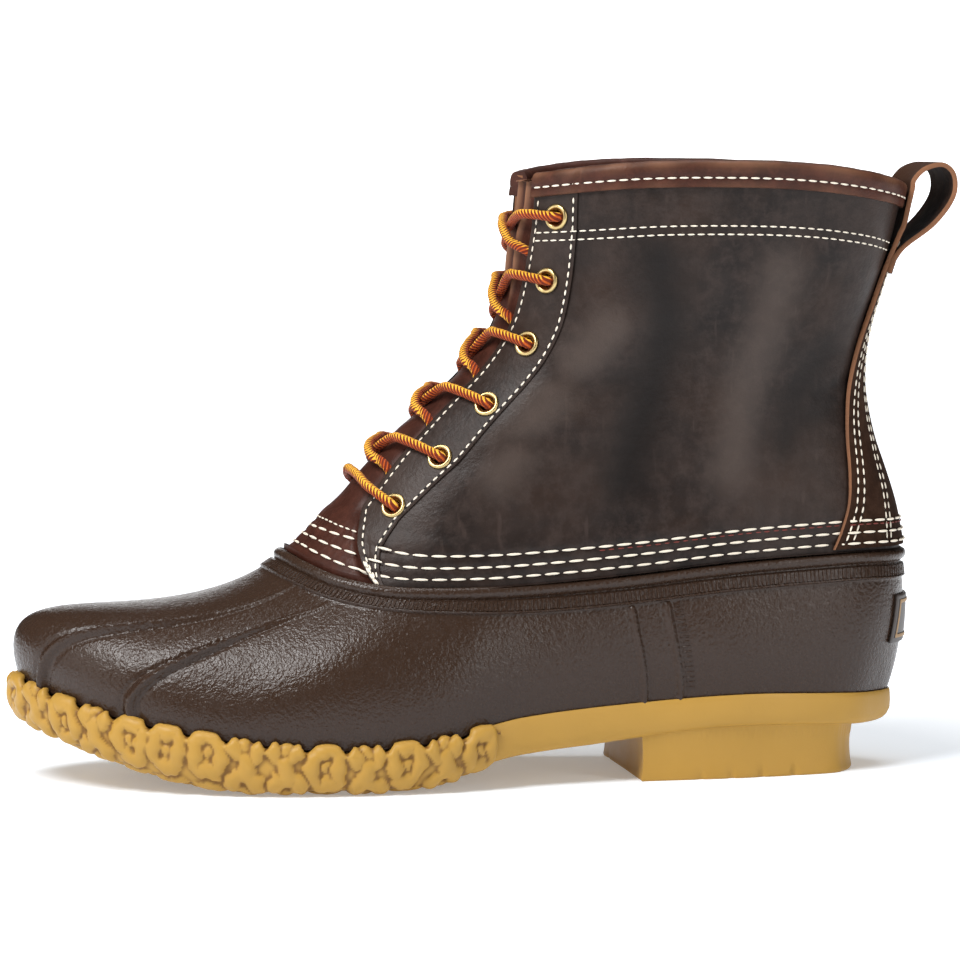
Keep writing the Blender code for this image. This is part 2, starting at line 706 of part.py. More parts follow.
def make_eyelets():
    """Brass eyelets, six on each side of the throat."""
    top = EYELET_SEAT + EYELET_FLANGE
    bottom = -(LEATHER_WALL + FACING_STEP + CLEARANCE)
    barrel = EYELET_BORE + EYELET_BARREL_WALL
    profile = ((EYELET_BORE, top), (EYELET_RADIUS, EYELET_SEAT), (barrel, EYELET_SEAT),
               (barrel, bottom), (EYELET_BORE, bottom))
    loops = []
    sides = 9
    for n in range(sides):
        angle = n * math.tau / sides
        loops.append([Vector((r * math.cos(angle), r * math.sin(angle), z)) for r, z in profile])
    first = None
    for side, side_name in ((-1, "outer"), (1, "inner")):
        for n, (height, setback) in enumerate(EYELETS, 1):
            name = f"eyelet_{side_name}_{n}"
            if first is None:
                first = body(name, swept(loops, True), BRASS, 0.25, 1.0)
                thing = first
            else:
                thing = bpy.data.objects.new(name, first.data)
                bpy.context.scene.collection.objects.link(thing)
            thing.matrix_world = eyelet_place(side, height, setback)


TONGUE_ROWS = ((0.0, 0), (0.045, 0), (0.085, 0), (0.136, 0), (0.160, 1), (0.177, 2),
               (0.25, 2), (0.34, 2), (0.44, 2), (0.54, 2), (0.64, 2), (0.75, 2), (0.855, 2),
               (0.925, 2), (1.03, 2))
TONGUE_FLAP = 12.0 * MM


def make_tongue():
    """Vamp and tongue in one: flush between the leather's edges below, tucked behind above."""
    outside = []
    inside = []
    for height, stage in TONGUE_ROWS:
        edges = [throat_u(height, side) for side in (-1, 1)]
        if stage == 2:
            insets = (-TONGUE_FLAP, -0.5 * TONGUE_FLAP, 1.0 * MM)
        else:
            insets = (0.5 * MM, 1.0 * MM, 1.6 * MM)
        outer = [step_along(edges[0], height, inset) for inset in insets]
        inner = [step_along(edges[1], height, -inset) for inset in insets][::-1]
        middle = [outer[-1] + (inner[0] - outer[-1]) * n / 8.0 for n in range(1, 8)]
        row_out = []
        row_in = []
        for n, u in enumerate(outer + middle + inner):
            deep = -CLEARANCE
            wall = TONGUE_WALL - 0.15 * MM
            if stage:
                across = (n - 6.0) / 4.0
                crown = max(1.0 - across * across, 0.0) * TONGUE_CROWN
                below_band = min(max((height - 0.855) / 0.07, 0.0), 1.0)
                deep = crown - LEATHER_WALL - 0.8 * MM - below_band * (BINDING_WALL + CLEARANCE)
                wall = TONGUE_WALL
            row_out.append(leather_point(u, height, deep))
            row_in.append(leather_point(u, height, deep - wall))
        outside.append(row_out)
        inside.append(row_in)
    grid_out = [list(column) for column in zip(*outside)]
    grid_in = [list(column) for column in zip(*inside)]
    body("tongue", sheet(grid_out, grid_in), LEATHER_RED, 0.55)


def make_collar_binding():
    """Leather band folded over the shaft's top edge."""
    span = COLLAR_HEIGHT - RIM_HEIGHT
    down = BINDING_HEIGHT / span
    over = CLEARANCE / span
    skin = BINDING_WALL / span
    loops = []
    for low, high in zip(shaft_sections(1.0 - down), shaft_sections(1.0)):
        out = high[1] * FACING_STEP + CLEARANCE
        back = -LEATHER_WALL - CLEARANCE
        outer_way = [shaft_point(low[0], 1.0 - down, out + BINDING_WALL),
                     shaft_point(high[0], 1.0 + over + 0.5 * skin, out + BINDING_WALL),
                     shaft_point(high[0], 1.0 + over + skin, 0.5 * back),
                     shaft_point(high[0], 1.0 + over + 0.5 * skin, back - BINDING_WALL),
                     shaft_point(low[0], 1.0 - down, back - BINDING_WALL)]
        inner_way = [shaft_point(low[0], 1.0 - down, out), shaft_point(high[0], 1.0 + over, out),
                     shaft_point(high[0], 1.0 + over, 0.5 * back),
                     shaft_point(high[0], 1.0 + over, back), shaft_point(low[0], 1.0 - down, back)]
        loops.append(outer_way + inner_way[::-1])
    body("collar_binding", swept(loops, False), LEATHER_RED, 0.5)


STRAP_SHARES = (-1.0, -0.75, -0.5, -0.25, 0.0, 0.25, 0.5, 0.75, 1.0)
STRAP_GAP = 0.6 * MM


def make_back_strap():
    """Strip down the back seam, wide at the rim, folded over itself at the top as a loop."""
    over_binding = CLEARANCE + BINDING_WALL + 0.2 * MM
    faces_a = []
    faces_b = []
    rows = (0.012,) + SHAFT_ROWS[1:-2] + (0.90, 0.955, 1.0)
    for height in rows:
        reach = step_along(0.0, height, straight_table(STRAP, height, 1) * BALL_WIDTH)
        lift = STRAP_GAP + min(max((height - 0.82) / 0.08, 0.0), 1.0) * over_binding
        faces_a.append([shaft_point(s * reach, height, lift) for s in STRAP_SHARES])
        faces_b.append([shaft_point(s * reach, height, lift + STRAP_WALL) for s in STRAP_SHARES])
    last = [(a + b) / 2.0 for a, b in zip(faces_a[-1], faces_b[-1])]
    top = last[len(last) // 2]
    join_height = 0.73
    end = shaft_point(0.0, join_height, STRAP_GAP + STRAP_WALL * 1.5 + CLEARANCE)
    reach = LOOP_REACH - 3.0 * MM
    path = (Vector((top.x + 0.5 * MM, 0.0, top.z + 0.6 * LOOP_RISE)),
            Vector((top.x + 0.18 * reach, 0.0, top.z + LOOP_RISE)),
            Vector((top.x + 0.52 * reach, 0.0, top.z + 1.08 * LOOP_RISE)),
            Vector((top.x + 0.86 * reach, 0.0, top.z + 0.55 * LOOP_RISE)),
            Vector((top.x + reach, 0.0, top.z - 0.5 * LOOP_RISE)),
            Vector((top.x + 0.93 * reach, 0.0, top.z - 1.7 * LOOP_RISE)),
            Vector((top.x + 0.60 * reach, 0.0, top.z - 2.9 * LOOP_RISE)),
            Vector(((top.x + 0.25 * reach + end.x) / 2.0 + 0.6 * MM, 0.0,
                    (top.z - 2.9 * LOOP_RISE + end.z) / 2.0)),
            Vector((end.x + 0.4 * MM, 0.0, end.z)))
    bow = (0.9, 0.7, 0.5, 0.4, 0.4, 0.5, 0.7, 0.9, 1.0)
    for n, spot in enumerate(path):
        before = path[n - 1] if n else top
        after = path[n + 1] if n + 1 < len(path) else spot * 2.0 - before
        tangent = Vector((after.x - before.x, 0.0, after.z - before.z)).normalized()
        normal = Vector((tangent.z, 0.0, -tangent.x)) * STRAP_WALL / 2.0
        row = []
        for middle in last:
            row.append(Vector((spot.x + (middle.x - top.x) * bow[n], middle.y, spot.z)))
        faces_a.append([p - normal for p in row])
        faces_b.append([p + normal for p in row])
    grid_a = [list(column) for column in zip(*faces_a)]
    grid_b = [list(column) for column in zip(*faces_b)]
    body("back_strap", sheet(grid_a, grid_b), LEATHER_EDGE, 0.55)


def make_heel_patch():
    """Plain patch on the back of the rubber foot."""
    half = PATCH_WIDTH / 2.0 / ((feather(0.1) - feather(-0.1)).length / 0.2)
    shares = (-1.0, -0.5, 0.0, 0.5, 1.0)
    grids = []
    for offset in (CLEARANCE, CLEARANCE + PATCH_PROUD):
        grids.append([[wall_point(s * half, PATCH_DROP + PATCH_HEIGHT * down, offset)
                       for down in (1.0, 0.5, 0.0)] for s in shares])
    body("heel_patch", sheet(grids[1], grids[0]), LEATHER_EDGE, 0.5)


# Lace

def over_throat(height, across, offset):
    """Point over the throat: across is -1 at the outer edge and +1 at the inner edge."""
    low = throat_u(height, -1)
    high = throat_u(height, 1)
    return shaft_point(low + (high - low) * (across + 1.0) / 2.0, height, offset)


def strand(name, points):
    """Curve of one stretch of lace through its points, with closed ends."""
    curve = bpy.data.curves.new(name, "CURVE")
    curve.dimensions = "3D"
    curve.bevel_depth = LACE_DIAMETER / 2.0
    curve.bevel_resolution = 2
    curve.use_fill_caps = True
    spline = curve.splines.new("POLY")
    spline.points.add(len(points) - 1)
    for n, point in enumerate(points):
        spline.points[n].co = (*point, 1.0)
    thing = bpy.data.objects.new(name, curve)
    bpy.context.scene.collection.objects.link(thing)
    return thing


def as_mesh(thing):
    """Mesh object of a curve object, which it replaces."""
    bpy.context.view_layer.update()
    graph = bpy.context.evaluated_depsgraph_get()
    mesh = bpy.data.meshes.new_from_object(thing.evaluated_get(graph))
    name = thing.name
    bpy.data.objects.remove(thing)
    bm = bmesh.new()
    bm.from_mesh(mesh)
    bmesh.ops.remove_doubles(bm, verts=bm.verts, dist=0.005 * MM)
    return body(name, bm, LACE_GOLD, 0.7)


def bent(points, between):
    """Points on one smooth curve through the given ones."""
    padded = [points[0] * 2.0 - points[1]] + points + [points[-1] * 2.0 - points[-2]]
    path = []
    for a, b, c, d in zip(padded, padded[1:], padded[2:], padded[3:]):
        for n in range(between):
            t = n / between
            path.append(b + (c - a) * 0.5 * t + (a - b * 2.5 + c * 2.0 - d * 0.5) * t * t
                        + (b * 1.5 - a * 0.5 - c * 1.5 + d * 0.5) * t * t * t)
    path.append(points[-1])
    return path


def make_lace():
    """Lace over the throat: a bar at the bottom and five crossings, ends hidden inside."""
    radius = LACE_DIAMETER / 2.0
    over_eyelet = EYELET_SEAT + CLEARANCE + EYELET_FLANGE + radius
    over_edge = FACING_STEP + CLEARANCE + radius + 0.6 * MM
    for n in range(len(EYELETS) - 1):
        low_height = EYELETS[n + 1][0]
        high_height, setback = EYELETS[n]
        rise = high_height - low_height
        parts = []
        for side, tail in ((-1, ""), (1, "_under")):
            place = eyelet_place(side, high_height, setback)
            points = [over_throat(low_height + 0.20 * rise, -side * 0.78, 0.5 * MM),
                      over_throat(low_height + CROSSINGS[n] * rise, 0.0, 3.4 * MM),
                      over_throat(low_height + 0.97 * rise, side * 0.96, over_edge + 0.8 * MM),
                      place @ Vector((0.0, 0.0, over_eyelet))]
            parts.append(as_mesh(strand(f"lace_cross_{n + 1}{tail}", bent(points, 2))))
        first, second = parts
        second.hide_render = True
        second.display_type = "WIRE"
        join = first.modifiers.new("crossing", "BOOLEAN")
        join.operation = "UNION"
        join.solver = "EXACT"
        join.object = second
    height, setback = EYELETS[-1]
    ends = [eyelet_place(side, height, setback) @ Vector((0.0, 0.0, over_eyelet))
            for side in (-1, 1)]
    points = [ends[0], over_throat(height + 0.004, -0.96, over_edge + 0.8 * MM),
              over_throat(height + 0.018, 0.0, 4.4 * MM),
              over_throat(height + 0.004, 0.96, over_edge + 0.8 * MM), ends[1]]
    as_mesh(strand("lace_bar", bent(points, 3)))


def stand_on_origin():
    """Move the boot so that the origin is under the middle of its box, on the floor."""
    bpy.context.view_layer.update()
    corners = [thing.matrix_world @ Vector(corner) for thing in bpy.data.objects
               if not thing.hide_render for corner in thing.bound_box]
    low = [min(c[n] for c in corners) for n in range(3)]
    high = [max(c[n] for c in corners) for n in range(3)]
    shift = Vector((-(low[0] + high[0]) / 2.0, -(low[1] + high[1]) / 2.0, -low[2]))
    for thing in bpy.data.objects:
        thing.location += shift
    bpy.context.view_layer.update()


def main():
    """Build the boot."""
    for thing in list(bpy.data.objects):
        bpy.data.objects.remove(thing)
    make_outsole()
    make_heel_block()
    make_insole()
    make_rubber_shell()
    make_quarters()
    make_tongue()
    make_collar_binding()
    make_back_strap()
    make_heel_patch()
    make_eyelets()
    make_lace()
    stand_on_origin()


main()
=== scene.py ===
"""Looks of a left duck boot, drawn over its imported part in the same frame.

Metres, +Z up, toe to -X, outer side of the foot to -Y. Shapes are worked out in the last's own
frame, where along() counts from the toe, and moved by TO_BOOT when they become meshes.
"""
import math

import bmesh
import bpy
import numpy as np
from mathutils import Matrix, Vector


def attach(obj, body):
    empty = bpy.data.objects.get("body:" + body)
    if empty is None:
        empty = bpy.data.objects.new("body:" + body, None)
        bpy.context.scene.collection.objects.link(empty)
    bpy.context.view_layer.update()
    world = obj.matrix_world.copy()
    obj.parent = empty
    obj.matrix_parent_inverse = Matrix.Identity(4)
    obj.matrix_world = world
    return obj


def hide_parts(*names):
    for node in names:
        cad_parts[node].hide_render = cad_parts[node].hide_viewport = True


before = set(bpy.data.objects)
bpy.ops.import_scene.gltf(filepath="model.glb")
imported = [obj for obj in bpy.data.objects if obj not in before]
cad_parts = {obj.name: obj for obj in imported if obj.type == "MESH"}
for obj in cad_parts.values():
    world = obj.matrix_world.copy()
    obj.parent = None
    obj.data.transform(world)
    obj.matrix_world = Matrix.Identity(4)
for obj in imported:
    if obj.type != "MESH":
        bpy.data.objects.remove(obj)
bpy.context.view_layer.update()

MM = 0.001
TO_BOOT = np.array((-9.411, 1.317, 0.0)) * MM

# Sizes that the looks share with the part
LENGTH = 302.0 * MM
BALL_WIDTH = 101.0 * MM
RIM_HEIGHT = 73.5 * MM
COLLAR_HEIGHT = 200.2 * MM
COLLAR_SIDE_RISE = 3.2 * MM
COLLAR_TILT = 1.6 * MM
RUBBER_WALL = 2.5 * MM
LEATHER_WALL = 2.0 * MM
FACING_STEP = 0.8 * MM
WEDGE_THICKNESS = 10.3 * MM
FLANGE_HEIGHT = 16.0 * MM
LACE_RADIUS = 1.6 * MM
STRAP_WALL = 1.6 * MM
STRAP_GAP = 0.6 * MM
SHAFT_RISE = COLLAR_HEIGHT - RIM_HEIGHT

# Leather's lower edge over the ledge, and hidden core of the forefoot over the tread
LEDGE_GAP = 0.7 * MM
CORE_DEPTH = 1.9 * MM

# Rubber foot, a row for each section from the back round the outer side, toe and inner side:
# feather along and across, rim along, across and up, then the four handles of the wall.
FOOT = np.array((
    (0.982, -0.020, 0.993, -0.010, 1.000, 0.07, 0.19, 0.05, 0.22),
    (0.952, -0.170, 0.972, -0.180, 1.004, 0.07, 0.19, 0.05, 0.22),
    (0.902, -0.272, 0.912, -0.277, 1.007, 0.07, 0.19, 0.05, 0.22),
    (0.795, -0.337, 0.783, -0.337, 0.980, 0.07, 0.19, 0.05, 0.22),
    (0.680, -0.352, 0.662, -0.361, 0.933, 0.05, 0.19, 0.05, 0.22),
    (0.551, -0.416, 0.565, -0.373, 0.903, 0.05, 0.19, 0.07, 0.19),
    (0.435, -0.495, 0.485, -0.376, 0.888, 0.07, 0.25, 0.11, 0.16),
    (0.306, -0.500, 0.406, -0.351, 0.890, 0.07, 0.29, 0.15, 0.15),
    (0.187, -0.416, 0.353, -0.272, 0.925, 0.06, 0.22, 0.21, 0.18),
    (0.094, -0.267, 0.321, -0.163, 0.977, 0.11, 0.33, 0.40, 0.31),
    (0.031, -0.069, 0.306, -0.069, 1.011, 0.16, 0.515, 0.52, 0.41),
    (0.010, 0.099, 0.301, 0.030, 1.020, 0.18, 0.575, 0.54, 0.44),
    (0.035, 0.238, 0.310, 0.119, 1.004, 0.16, 0.435, 0.49, 0.40),
    (0.104, 0.371, 0.329, 0.208, 0.962, 0.105, 0.295, 0.38, 0.295),
    (0.204, 0.460, 0.366, 0.287, 0.920, 0.06, 0.22, 0.21, 0.18),
    (0.320, 0.480, 0.419, 0.342, 0.893, 0.07, 0.29, 0.14, 0.15),
    (0.445, 0.426, 0.495, 0.361, 0.888, 0.07, 0.25, 0.11, 0.16),
    (0.558, 0.347, 0.571, 0.353, 0.905, 0.05, 0.19, 0.07, 0.19),
    (0.680, 0.297, 0.662, 0.337, 0.933, 0.05, 0.19, 0.05, 0.22),
    (0.795, 0.287, 0.783, 0.312, 0.980, 0.07, 0.19, 0.05, 0.22),
    (0.899, 0.243, 0.909, 0.257, 1.007, 0.07, 0.19, 0.05, 0.22),
    (0.952, 0.139, 0.972, 0.153, 1.004, 0.07, 0.19, 0.05, 0.22),
))
TOE = 11.0
AROUND = float(len(FOOT))

# Floor inside the foot and underside of the forefoot: share of LENGTH from the toe, share of
# RIM_HEIGHT.
FLOOR = ((-0.02, 0.492), (0.01, 0.465), (0.033, 0.430), (0.095, 0.349), (0.195, 0.265),
         (0.31, 0.212), (0.40, 0.214), (0.47, 0.252), (0.54, 0.309), (0.68, 0.354), (0.795, 0.377),
         (0.90, 0.363), (0.952, 0.349), (1.02, 0.335))
TREAD = ((-0.02, 0.30), (0.0, 0.270), (0.05, 0.195), (0.104, 0.117), (0.154, 0.056),
         (0.204, 0.014), (0.245, 0.0), (0.386, 0.0), (0.435, 0.014), (0.47, 0.048),
         (0.51, 0.11))
CHAIN_END = 0.505

# Leather shaft: height share, front, back, outer, inner, round.
SHAFT = (
    (0.00, 0.301, 0.993, 0.376, 0.361, 0.00),
    (0.08, 0.334, 0.987, 0.370, 0.356, 0.10),
    (0.17, 0.365, 0.978, 0.356, 0.347, 0.20),
    (0.27, 0.401, 0.963, 0.342, 0.332, 0.30),
    (0.38, 0.446, 0.951, 0.332, 0.327, 0.40),
    (0.49, 0.495, 0.946, 0.332, 0.327, 0.50),
    (0.60, 0.529, 0.950, 0.347, 0.342, 0.65),
    (0.72, 0.545, 0.963, 0.376, 0.366, 0.80),
    (0.86, 0.553, 0.980, 0.406, 0.396, 0.90),
    (1.00, 0.559, 0.993, 0.426, 0.416, 1.00),
)
COLLAR_SQUARENESS = 2.5

# Throat and facing: height share, half gap and facing width as shares of BALL_WIDTH.
THROAT = ((0.00, 0.330, 0.030), (0.08, 0.230, 0.090), (0.15, 0.168, 0.150), (0.30, 0.155, 0.200),
          (0.45, 0.145, 0.200), (0.60, 0.150, 0.200), (0.74, 0.168, 0.190), (0.86, 0.186, 0.180),
          (1.00, 0.192, 0.170))

# Eyelets from the top down: height share, setback from the throat edge as a share of
# BALL_WIDTH.
EYELETS = ((0.891, 0.104), (0.732, 0.104), (0.574, 0.110), (0.427, 0.134), (0.298, 0.132),
           (0.174, 0.104))

# Back strap: height share, half width as a share of BALL_WIDTH.
STRAP = ((0.01, 0.415), (0.12, 0.345), (0.25, 0.285), (0.38, 0.245), (0.50, 0.205),
         (0.62, 0.165), (0.74, 0.140), (0.86, 0.129), (1.00, 0.129))

# Heel outline: share of LENGTH from the toe, outer and inner edge as shares of BALL_WIDTH.
HEEL = ((0.677, -0.347, 0.290), (0.795, -0.330, 0.280), (0.892, -0.277, 0.230),
        (0.920, -0.215, 0.165), (0.936, -0.115, 0.075))


# Curves and surfaces of the last

def hermite(start, end, leave, arrive, t):
    """Point at t on a curve between two points, with its slopes at both."""
    return (start + leave * t + (3.0 * (end - start) - 2.0 * leave - arrive) * t * t
            + (2.0 * (start - end) + leave + arrive) * t ** 3)


def smooth_table(rows, where):
    """All columns of a table at places in its first column, on smooth curves."""
    rows = np.array(rows)
    first = rows[:, 0]
    last = len(first) - 1
    where = np.asarray(where, dtype=float)
    k = np.searchsorted(first[1:-1], where, side="left")
    before = np.maximum(np.arange(last + 1) - 1, 0)
    after = np.minimum(np.arange(last + 1) + 1, last)
    slopes = (rows[after] - rows[before]) / (first[after] - first[before])[:, None]
    span = (first[k + 1] - first[k])[..., None]
    t = (where[..., None] - first[k][..., None]) / span
    return hermite(rows[k], rows[k + 1], slopes[k] * span, slopes[k + 1] * span, t)


def straight_table(rows, where, column):
    """One column of a table at places in its first column, on straight stretches."""
    rows = np.array(rows)
    return np.interp(where, rows[:, 0], rows[:, column])


def foot_row(u):
    """Columns of the foot table at sections u, on a closed smooth curve."""
    k = np.floor(u).astype(int)
    before, start, end, after = (FOOT[(k + n) % len(FOOT)] for n in (-1, 0, 1, 2))
    return hermite(start, end, (end - before) / 2.0, (after - start) / 2.0, (u - k)[..., None])


def points(x, y, z):
    """Array of points from three arrays that fit together."""
    return np.stack(np.broadcast_arrays(x, y, z), axis=-1)


def unit(vectors):
    """Vectors scaled to length 1."""
    return vectors / np.maximum(np.linalg.norm(vectors, axis=-1, keepdims=True), 1e-12)


def along(share):
    """X of a share of the length, counted from the toe."""
    return (share - 0.5) * LENGTH


def floor_z(x):
    """Height of the foot's floor at x."""
    return smooth_table(FLOOR, x / LENGTH + 0.5)[..., 1] * RIM_HEIGHT


def tread_z(x):
    """Height of the forefoot's underside at x."""
    return straight_table(TREAD, x / LENGTH + 0.5, 1) * RIM_HEIGHT


def feather(u):
    """Lower edge of the rubber foot."""
    row = foot_row(u)
    x = along(row[..., 0])
    return points(x, row[..., 1] * BALL_WIDTH, floor_z(x))


def feather_way(u):
    """Level direction out of the feather line."""
    return outward(feather, u)


def rim(u):
    """Ledge where the leather starts."""
    row = foot_row(u)
    return points(along(row[..., 2]), row[..., 3] * BALL_WIDTH, row[..., 4] * RIM_HEIGHT)


def outward(curve, u):
    """Level direction out of a closed curve."""
    step = curve(u + 0.02) - curve(u - 0.02)
    return unit(points(-step[..., 1], step[..., 0], 0.0 * step[..., 0]))


def meridian(u, t):
    """Point of the foot's wall, from the feather at t = 0 to the rim at t = 1."""
    row = foot_row(u)
    low = feather(u)
    high = rim(u)
    low_handle = low + feather_way(u) * (row[..., 5] * RIM_HEIGHT)[..., None]
    low_handle[..., 2] += row[..., 6] * RIM_HEIGHT
    high_handle = high + outward(rim, u) * (row[..., 7] * RIM_HEIGHT)[..., None]
    high_handle[..., 2] -= row[..., 8] * RIM_HEIGHT
    t = t[..., None]
    s = 1.0 - t
    return (low * s ** 3 + low_handle * 3.0 * s * s * t + high_handle * 3.0 * s * t * t
            + high * t ** 3)


def lookup(table, x, y):
    """Value of a table over the unit square between its entries: x across, y down."""
    rows, columns = table.shape
    x = np.clip(x, 0.0, 1.0) * (columns - 1)
    y = np.clip(y, 0.0, 1.0) * (rows - 1)
    i = np.minimum(y.astype(int), rows - 2)
    j = np.minimum(x.astype(int), columns - 2)
    fx = x - j
    fy = y - i
    return ((table[i, j] * (1.0 - fx) + table[i, j + 1] * fx) * (1.0 - fy)
            + (table[i + 1, j] * (1.0 - fx) + table[i + 1, j + 1] * fx) * fy)


def running(line):
    """Running length of polylines, whose points lie along the last axis but one."""
    steps = np.linalg.norm(np.diff(line, axis=-2), axis=-1)
    start = np.zeros(steps.shape[:-1] + (1,))
    return np.concatenate((start, np.cumsum(steps, axis=-1)), axis=-1)


def wall_tables():
    """Length of each wall section, and t for each section and share down from the rim."""
    u = np.linspace(0.0, AROUND, 441)
    t = np.linspace(1.0, 0.0, 49)
    lengths = running(meridian(u[:, None] + 0.0 * t, t + 0.0 * u[:, None]))
    shares = np.linspace(0.0, 1.0, 65)
    table = np.array([np.interp(shares * row[-1], row, t) for row in lengths])
    return lengths[:, -1], table


WALL_LENGTH, WALL_T = wall_tables()


def wall_length(u):
    """Length of the wall from the rim to the feather."""
    return np.interp(u % AROUND, np.linspace(0.0, AROUND, len(WALL_LENGTH)), WALL_LENGTH)


def wall(u, drop, offset=0.0):
    """Point of the foot's wall at a distance down from the rim, moved out by offset."""
    t = lookup(WALL_T, drop / wall_length(u), (u % AROUND) / AROUND)
    side = meridian(u + 0.03, t) - meridian(u - 0.03, t)
    up = meridian(u, t + 0.01) - meridian(u, t - 0.01)
    offset = np.broadcast_to(offset, np.shape(u))
    return meridian(u, t) + unit(np.cross(up, side)) * offset[..., None]


def shaft_face(u, height):
    """Point of the leather's outer face at section u and height share."""
    values = smooth_table(SHAFT, height)
    start = np.array(SHAFT[0])
    base = rim(u)
    outer = base[..., 1] < 0.0
    middle = along((start[1] + start[2]) / 2.0)
    half = (start[2] - start[1]) / 2.0 * LENGTH
    long_share = (base[..., 0] - middle) / half
    wide_share = base[..., 1] / (np.where(outer, start[3], start[4]) * BALL_WIDTH)
    angle = np.arctan2(wide_share, long_share)
    power = 2.0 / COLLAR_SQUARENESS
    oval_long = np.copysign(np.abs(np.cos(angle)) ** power, np.cos(angle))
    oval_wide = np.copysign(np.abs(np.sin(angle)) ** power, np.sin(angle))
    blend = values[..., 5]
    front = values[..., 1]
    back = values[..., 2]
    x = (along((front + back) / 2.0)
         + (long_share + (oval_long - long_share) * blend) * (back - front) / 2.0 * LENGTH)
    y = ((wide_share + (oval_wide - wide_share) * blend)
         * np.where(outer, values[..., 3], values[..., 4]) * BALL_WIDTH)
    top = (COLLAR_HEIGHT - COLLAR_SIDE_RISE * np.cos(2.0 * angle)
           - COLLAR_TILT * np.cos(angle))
    return points(x, y, base[..., 2] + (top - base[..., 2]) * height)


def shaft(u, height, offset=0.0):
    """Point of the leather's outer face, moved out by offset."""
    u, height, offset = np.broadcast_arrays(u, height, offset)
    side = shaft_face(u + 0.03, height) - shaft_face(u - 0.03, height)
    up = shaft_face(u, height + 0.004) - shaft_face(u, height - 0.004)
    return shaft_face(u, height) + unit(np.cross(up, side)) * offset[..., None]


def throat_u(height, side):
    """Section of the throat edge: side -1 is outer, +1 is inner."""
    height = np.asarray(height, dtype=float)
    target = straight_table(THROAT, height, 1) * BALL_WIDTH
    near = np.full(height.shape, TOE)
    far = np.full(height.shape, TOE + side * 5.0)
    for _ in range(26):
        middle = (near + far) / 2.0
        inside = np.abs(shaft_face(middle, height)[..., 1]) < target
        near = np.where(inside, middle, near)
        far = np.where(inside, far, middle)
    return near


def step_along(u, height, distance):
    """Section reached from u after a distance along the shaft's ring."""
    steps = 6
    for _ in range(steps):
        reach = np.linalg.norm(shaft_face(u + 0.02, height) - shaft_face(u, height), axis=-1)
        u = u + distance / steps / reach * 0.02
    return u


def ring_tables():
    """Section for each height and share of the way from a throat edge to the back."""
    heights = np.linspace(0.0, 1.0, 101)
    shares = np.linspace(0.0, 1.0, 161)
    tables = {}
    lengths = {}
    for side in (-1, 1):
        back = 0.0 if side < 0 else AROUND
        edge = throat_u(heights, side)
        u = edge[:, None] + (back - edge[:, None]) * shares
        length = running(shaft_face(u, heights[:, None] + 0.0 * u))
        tables[side] = np.array([np.interp(shares * row[-1], row, row_u)
                                 for row, row_u in zip(length, u)])
        lengths[side] = length[:, -1]
    return tables, lengths


RING_U, RING_LENGTH = ring_tables()


def ring_length(height, side):
    """Distance from a throat edge round to the back at a height share."""
    table = RING_LENGTH[side]
    return np.interp(height, np.linspace(0.0, 1.0, len(table)), table)


def ring_u(height, share, side):
    """Section at a share of the way from a throat edge to the back."""
    return lookup(RING_U[side], share, height)


def lift_height(u, lift):
    """Height share of a level lift above the ledge."""
    return lift / (COLLAR_HEIGHT - rim(u)[..., 2])


# Meshes

def skin(spots, merge=False, wear_and_shading=None):
    """Bmesh of a grid that lies on rows of spots, an array of rows by columns by 3.

    The last argument per vertex is 1 where rubbing and a painted highlight lighten the surface, and
    -1 where painted shade darkens it.
    """
    rows, columns = spots.shape[:2]
    bm = bmesh.new()
    bm.loops.layers.uv.new("UVMap")
    layer = bm.verts.layers.float.new("wear_and_shading")
    bmesh.ops.create_grid(bm, x_segments=columns - 1, y_segments=rows - 1, size=0.5,
                          calc_uvs=True)
    for v in bm.verts:
        column = round((v.co.x + 0.5) * (columns - 1))
        row = round((v.co.y + 0.5) * (rows - 1))
        v.co = spots[row, column]
        if wear_and_shading is not None:
            v[layer] = wear_and_shading[row, column]
    if merge:
        bmesh.ops.remove_doubles(bm, verts=bm.verts, dist=0.002 * MM)
    return bm


def turn_edge(bm, wall, steps=2, material_number=0):
    """Turn the open edge of a sheet back through its wall, in a material of its own."""
    bmesh.ops.recalc_face_normals(bm, faces=bm.faces)
    bm.normal_update()
    edges = [e for e in bm.edges if e.is_boundary]
    facing = {v: v.normal.copy() for e in edges for v in e.verts}
    for _ in range(steps):
        made = bmesh.ops.extrude_edge_only(bm, edges=edges)["geom"]
        for face in [f for f in made if isinstance(f, bmesh.types.BMFace)]:
            if face.calc_center_median().z > 80.0 * MM:
                face.material_index = material_number
        edges = [e for e in made if isinstance(e, bmesh.types.BMEdge) and e.is_boundary]
        fresh = {}
        for v in [v for v in made if isinstance(v, bmesh.types.BMVert)]:
            source = next(e.other_vert(v) for e in v.link_edges if e.other_vert(v) in facing)
            fresh[v] = facing[source]
            v.co -= fresh[v] * wall / steps
        facing = fresh


def paint(bm, choose):
    """Give each face of a grid the material number that choose(a, b) picks for its place."""
    layer = bm.loops.layers.uv.active
    for face in bm.faces:
        a = sum(loop[layer].uv.x for loop in face.loops) / len(face.loops)
        b = sum(loop[layer].uv.y for loop in face.loops) / len(face.loops)
        face.material_index = choose(a, b)


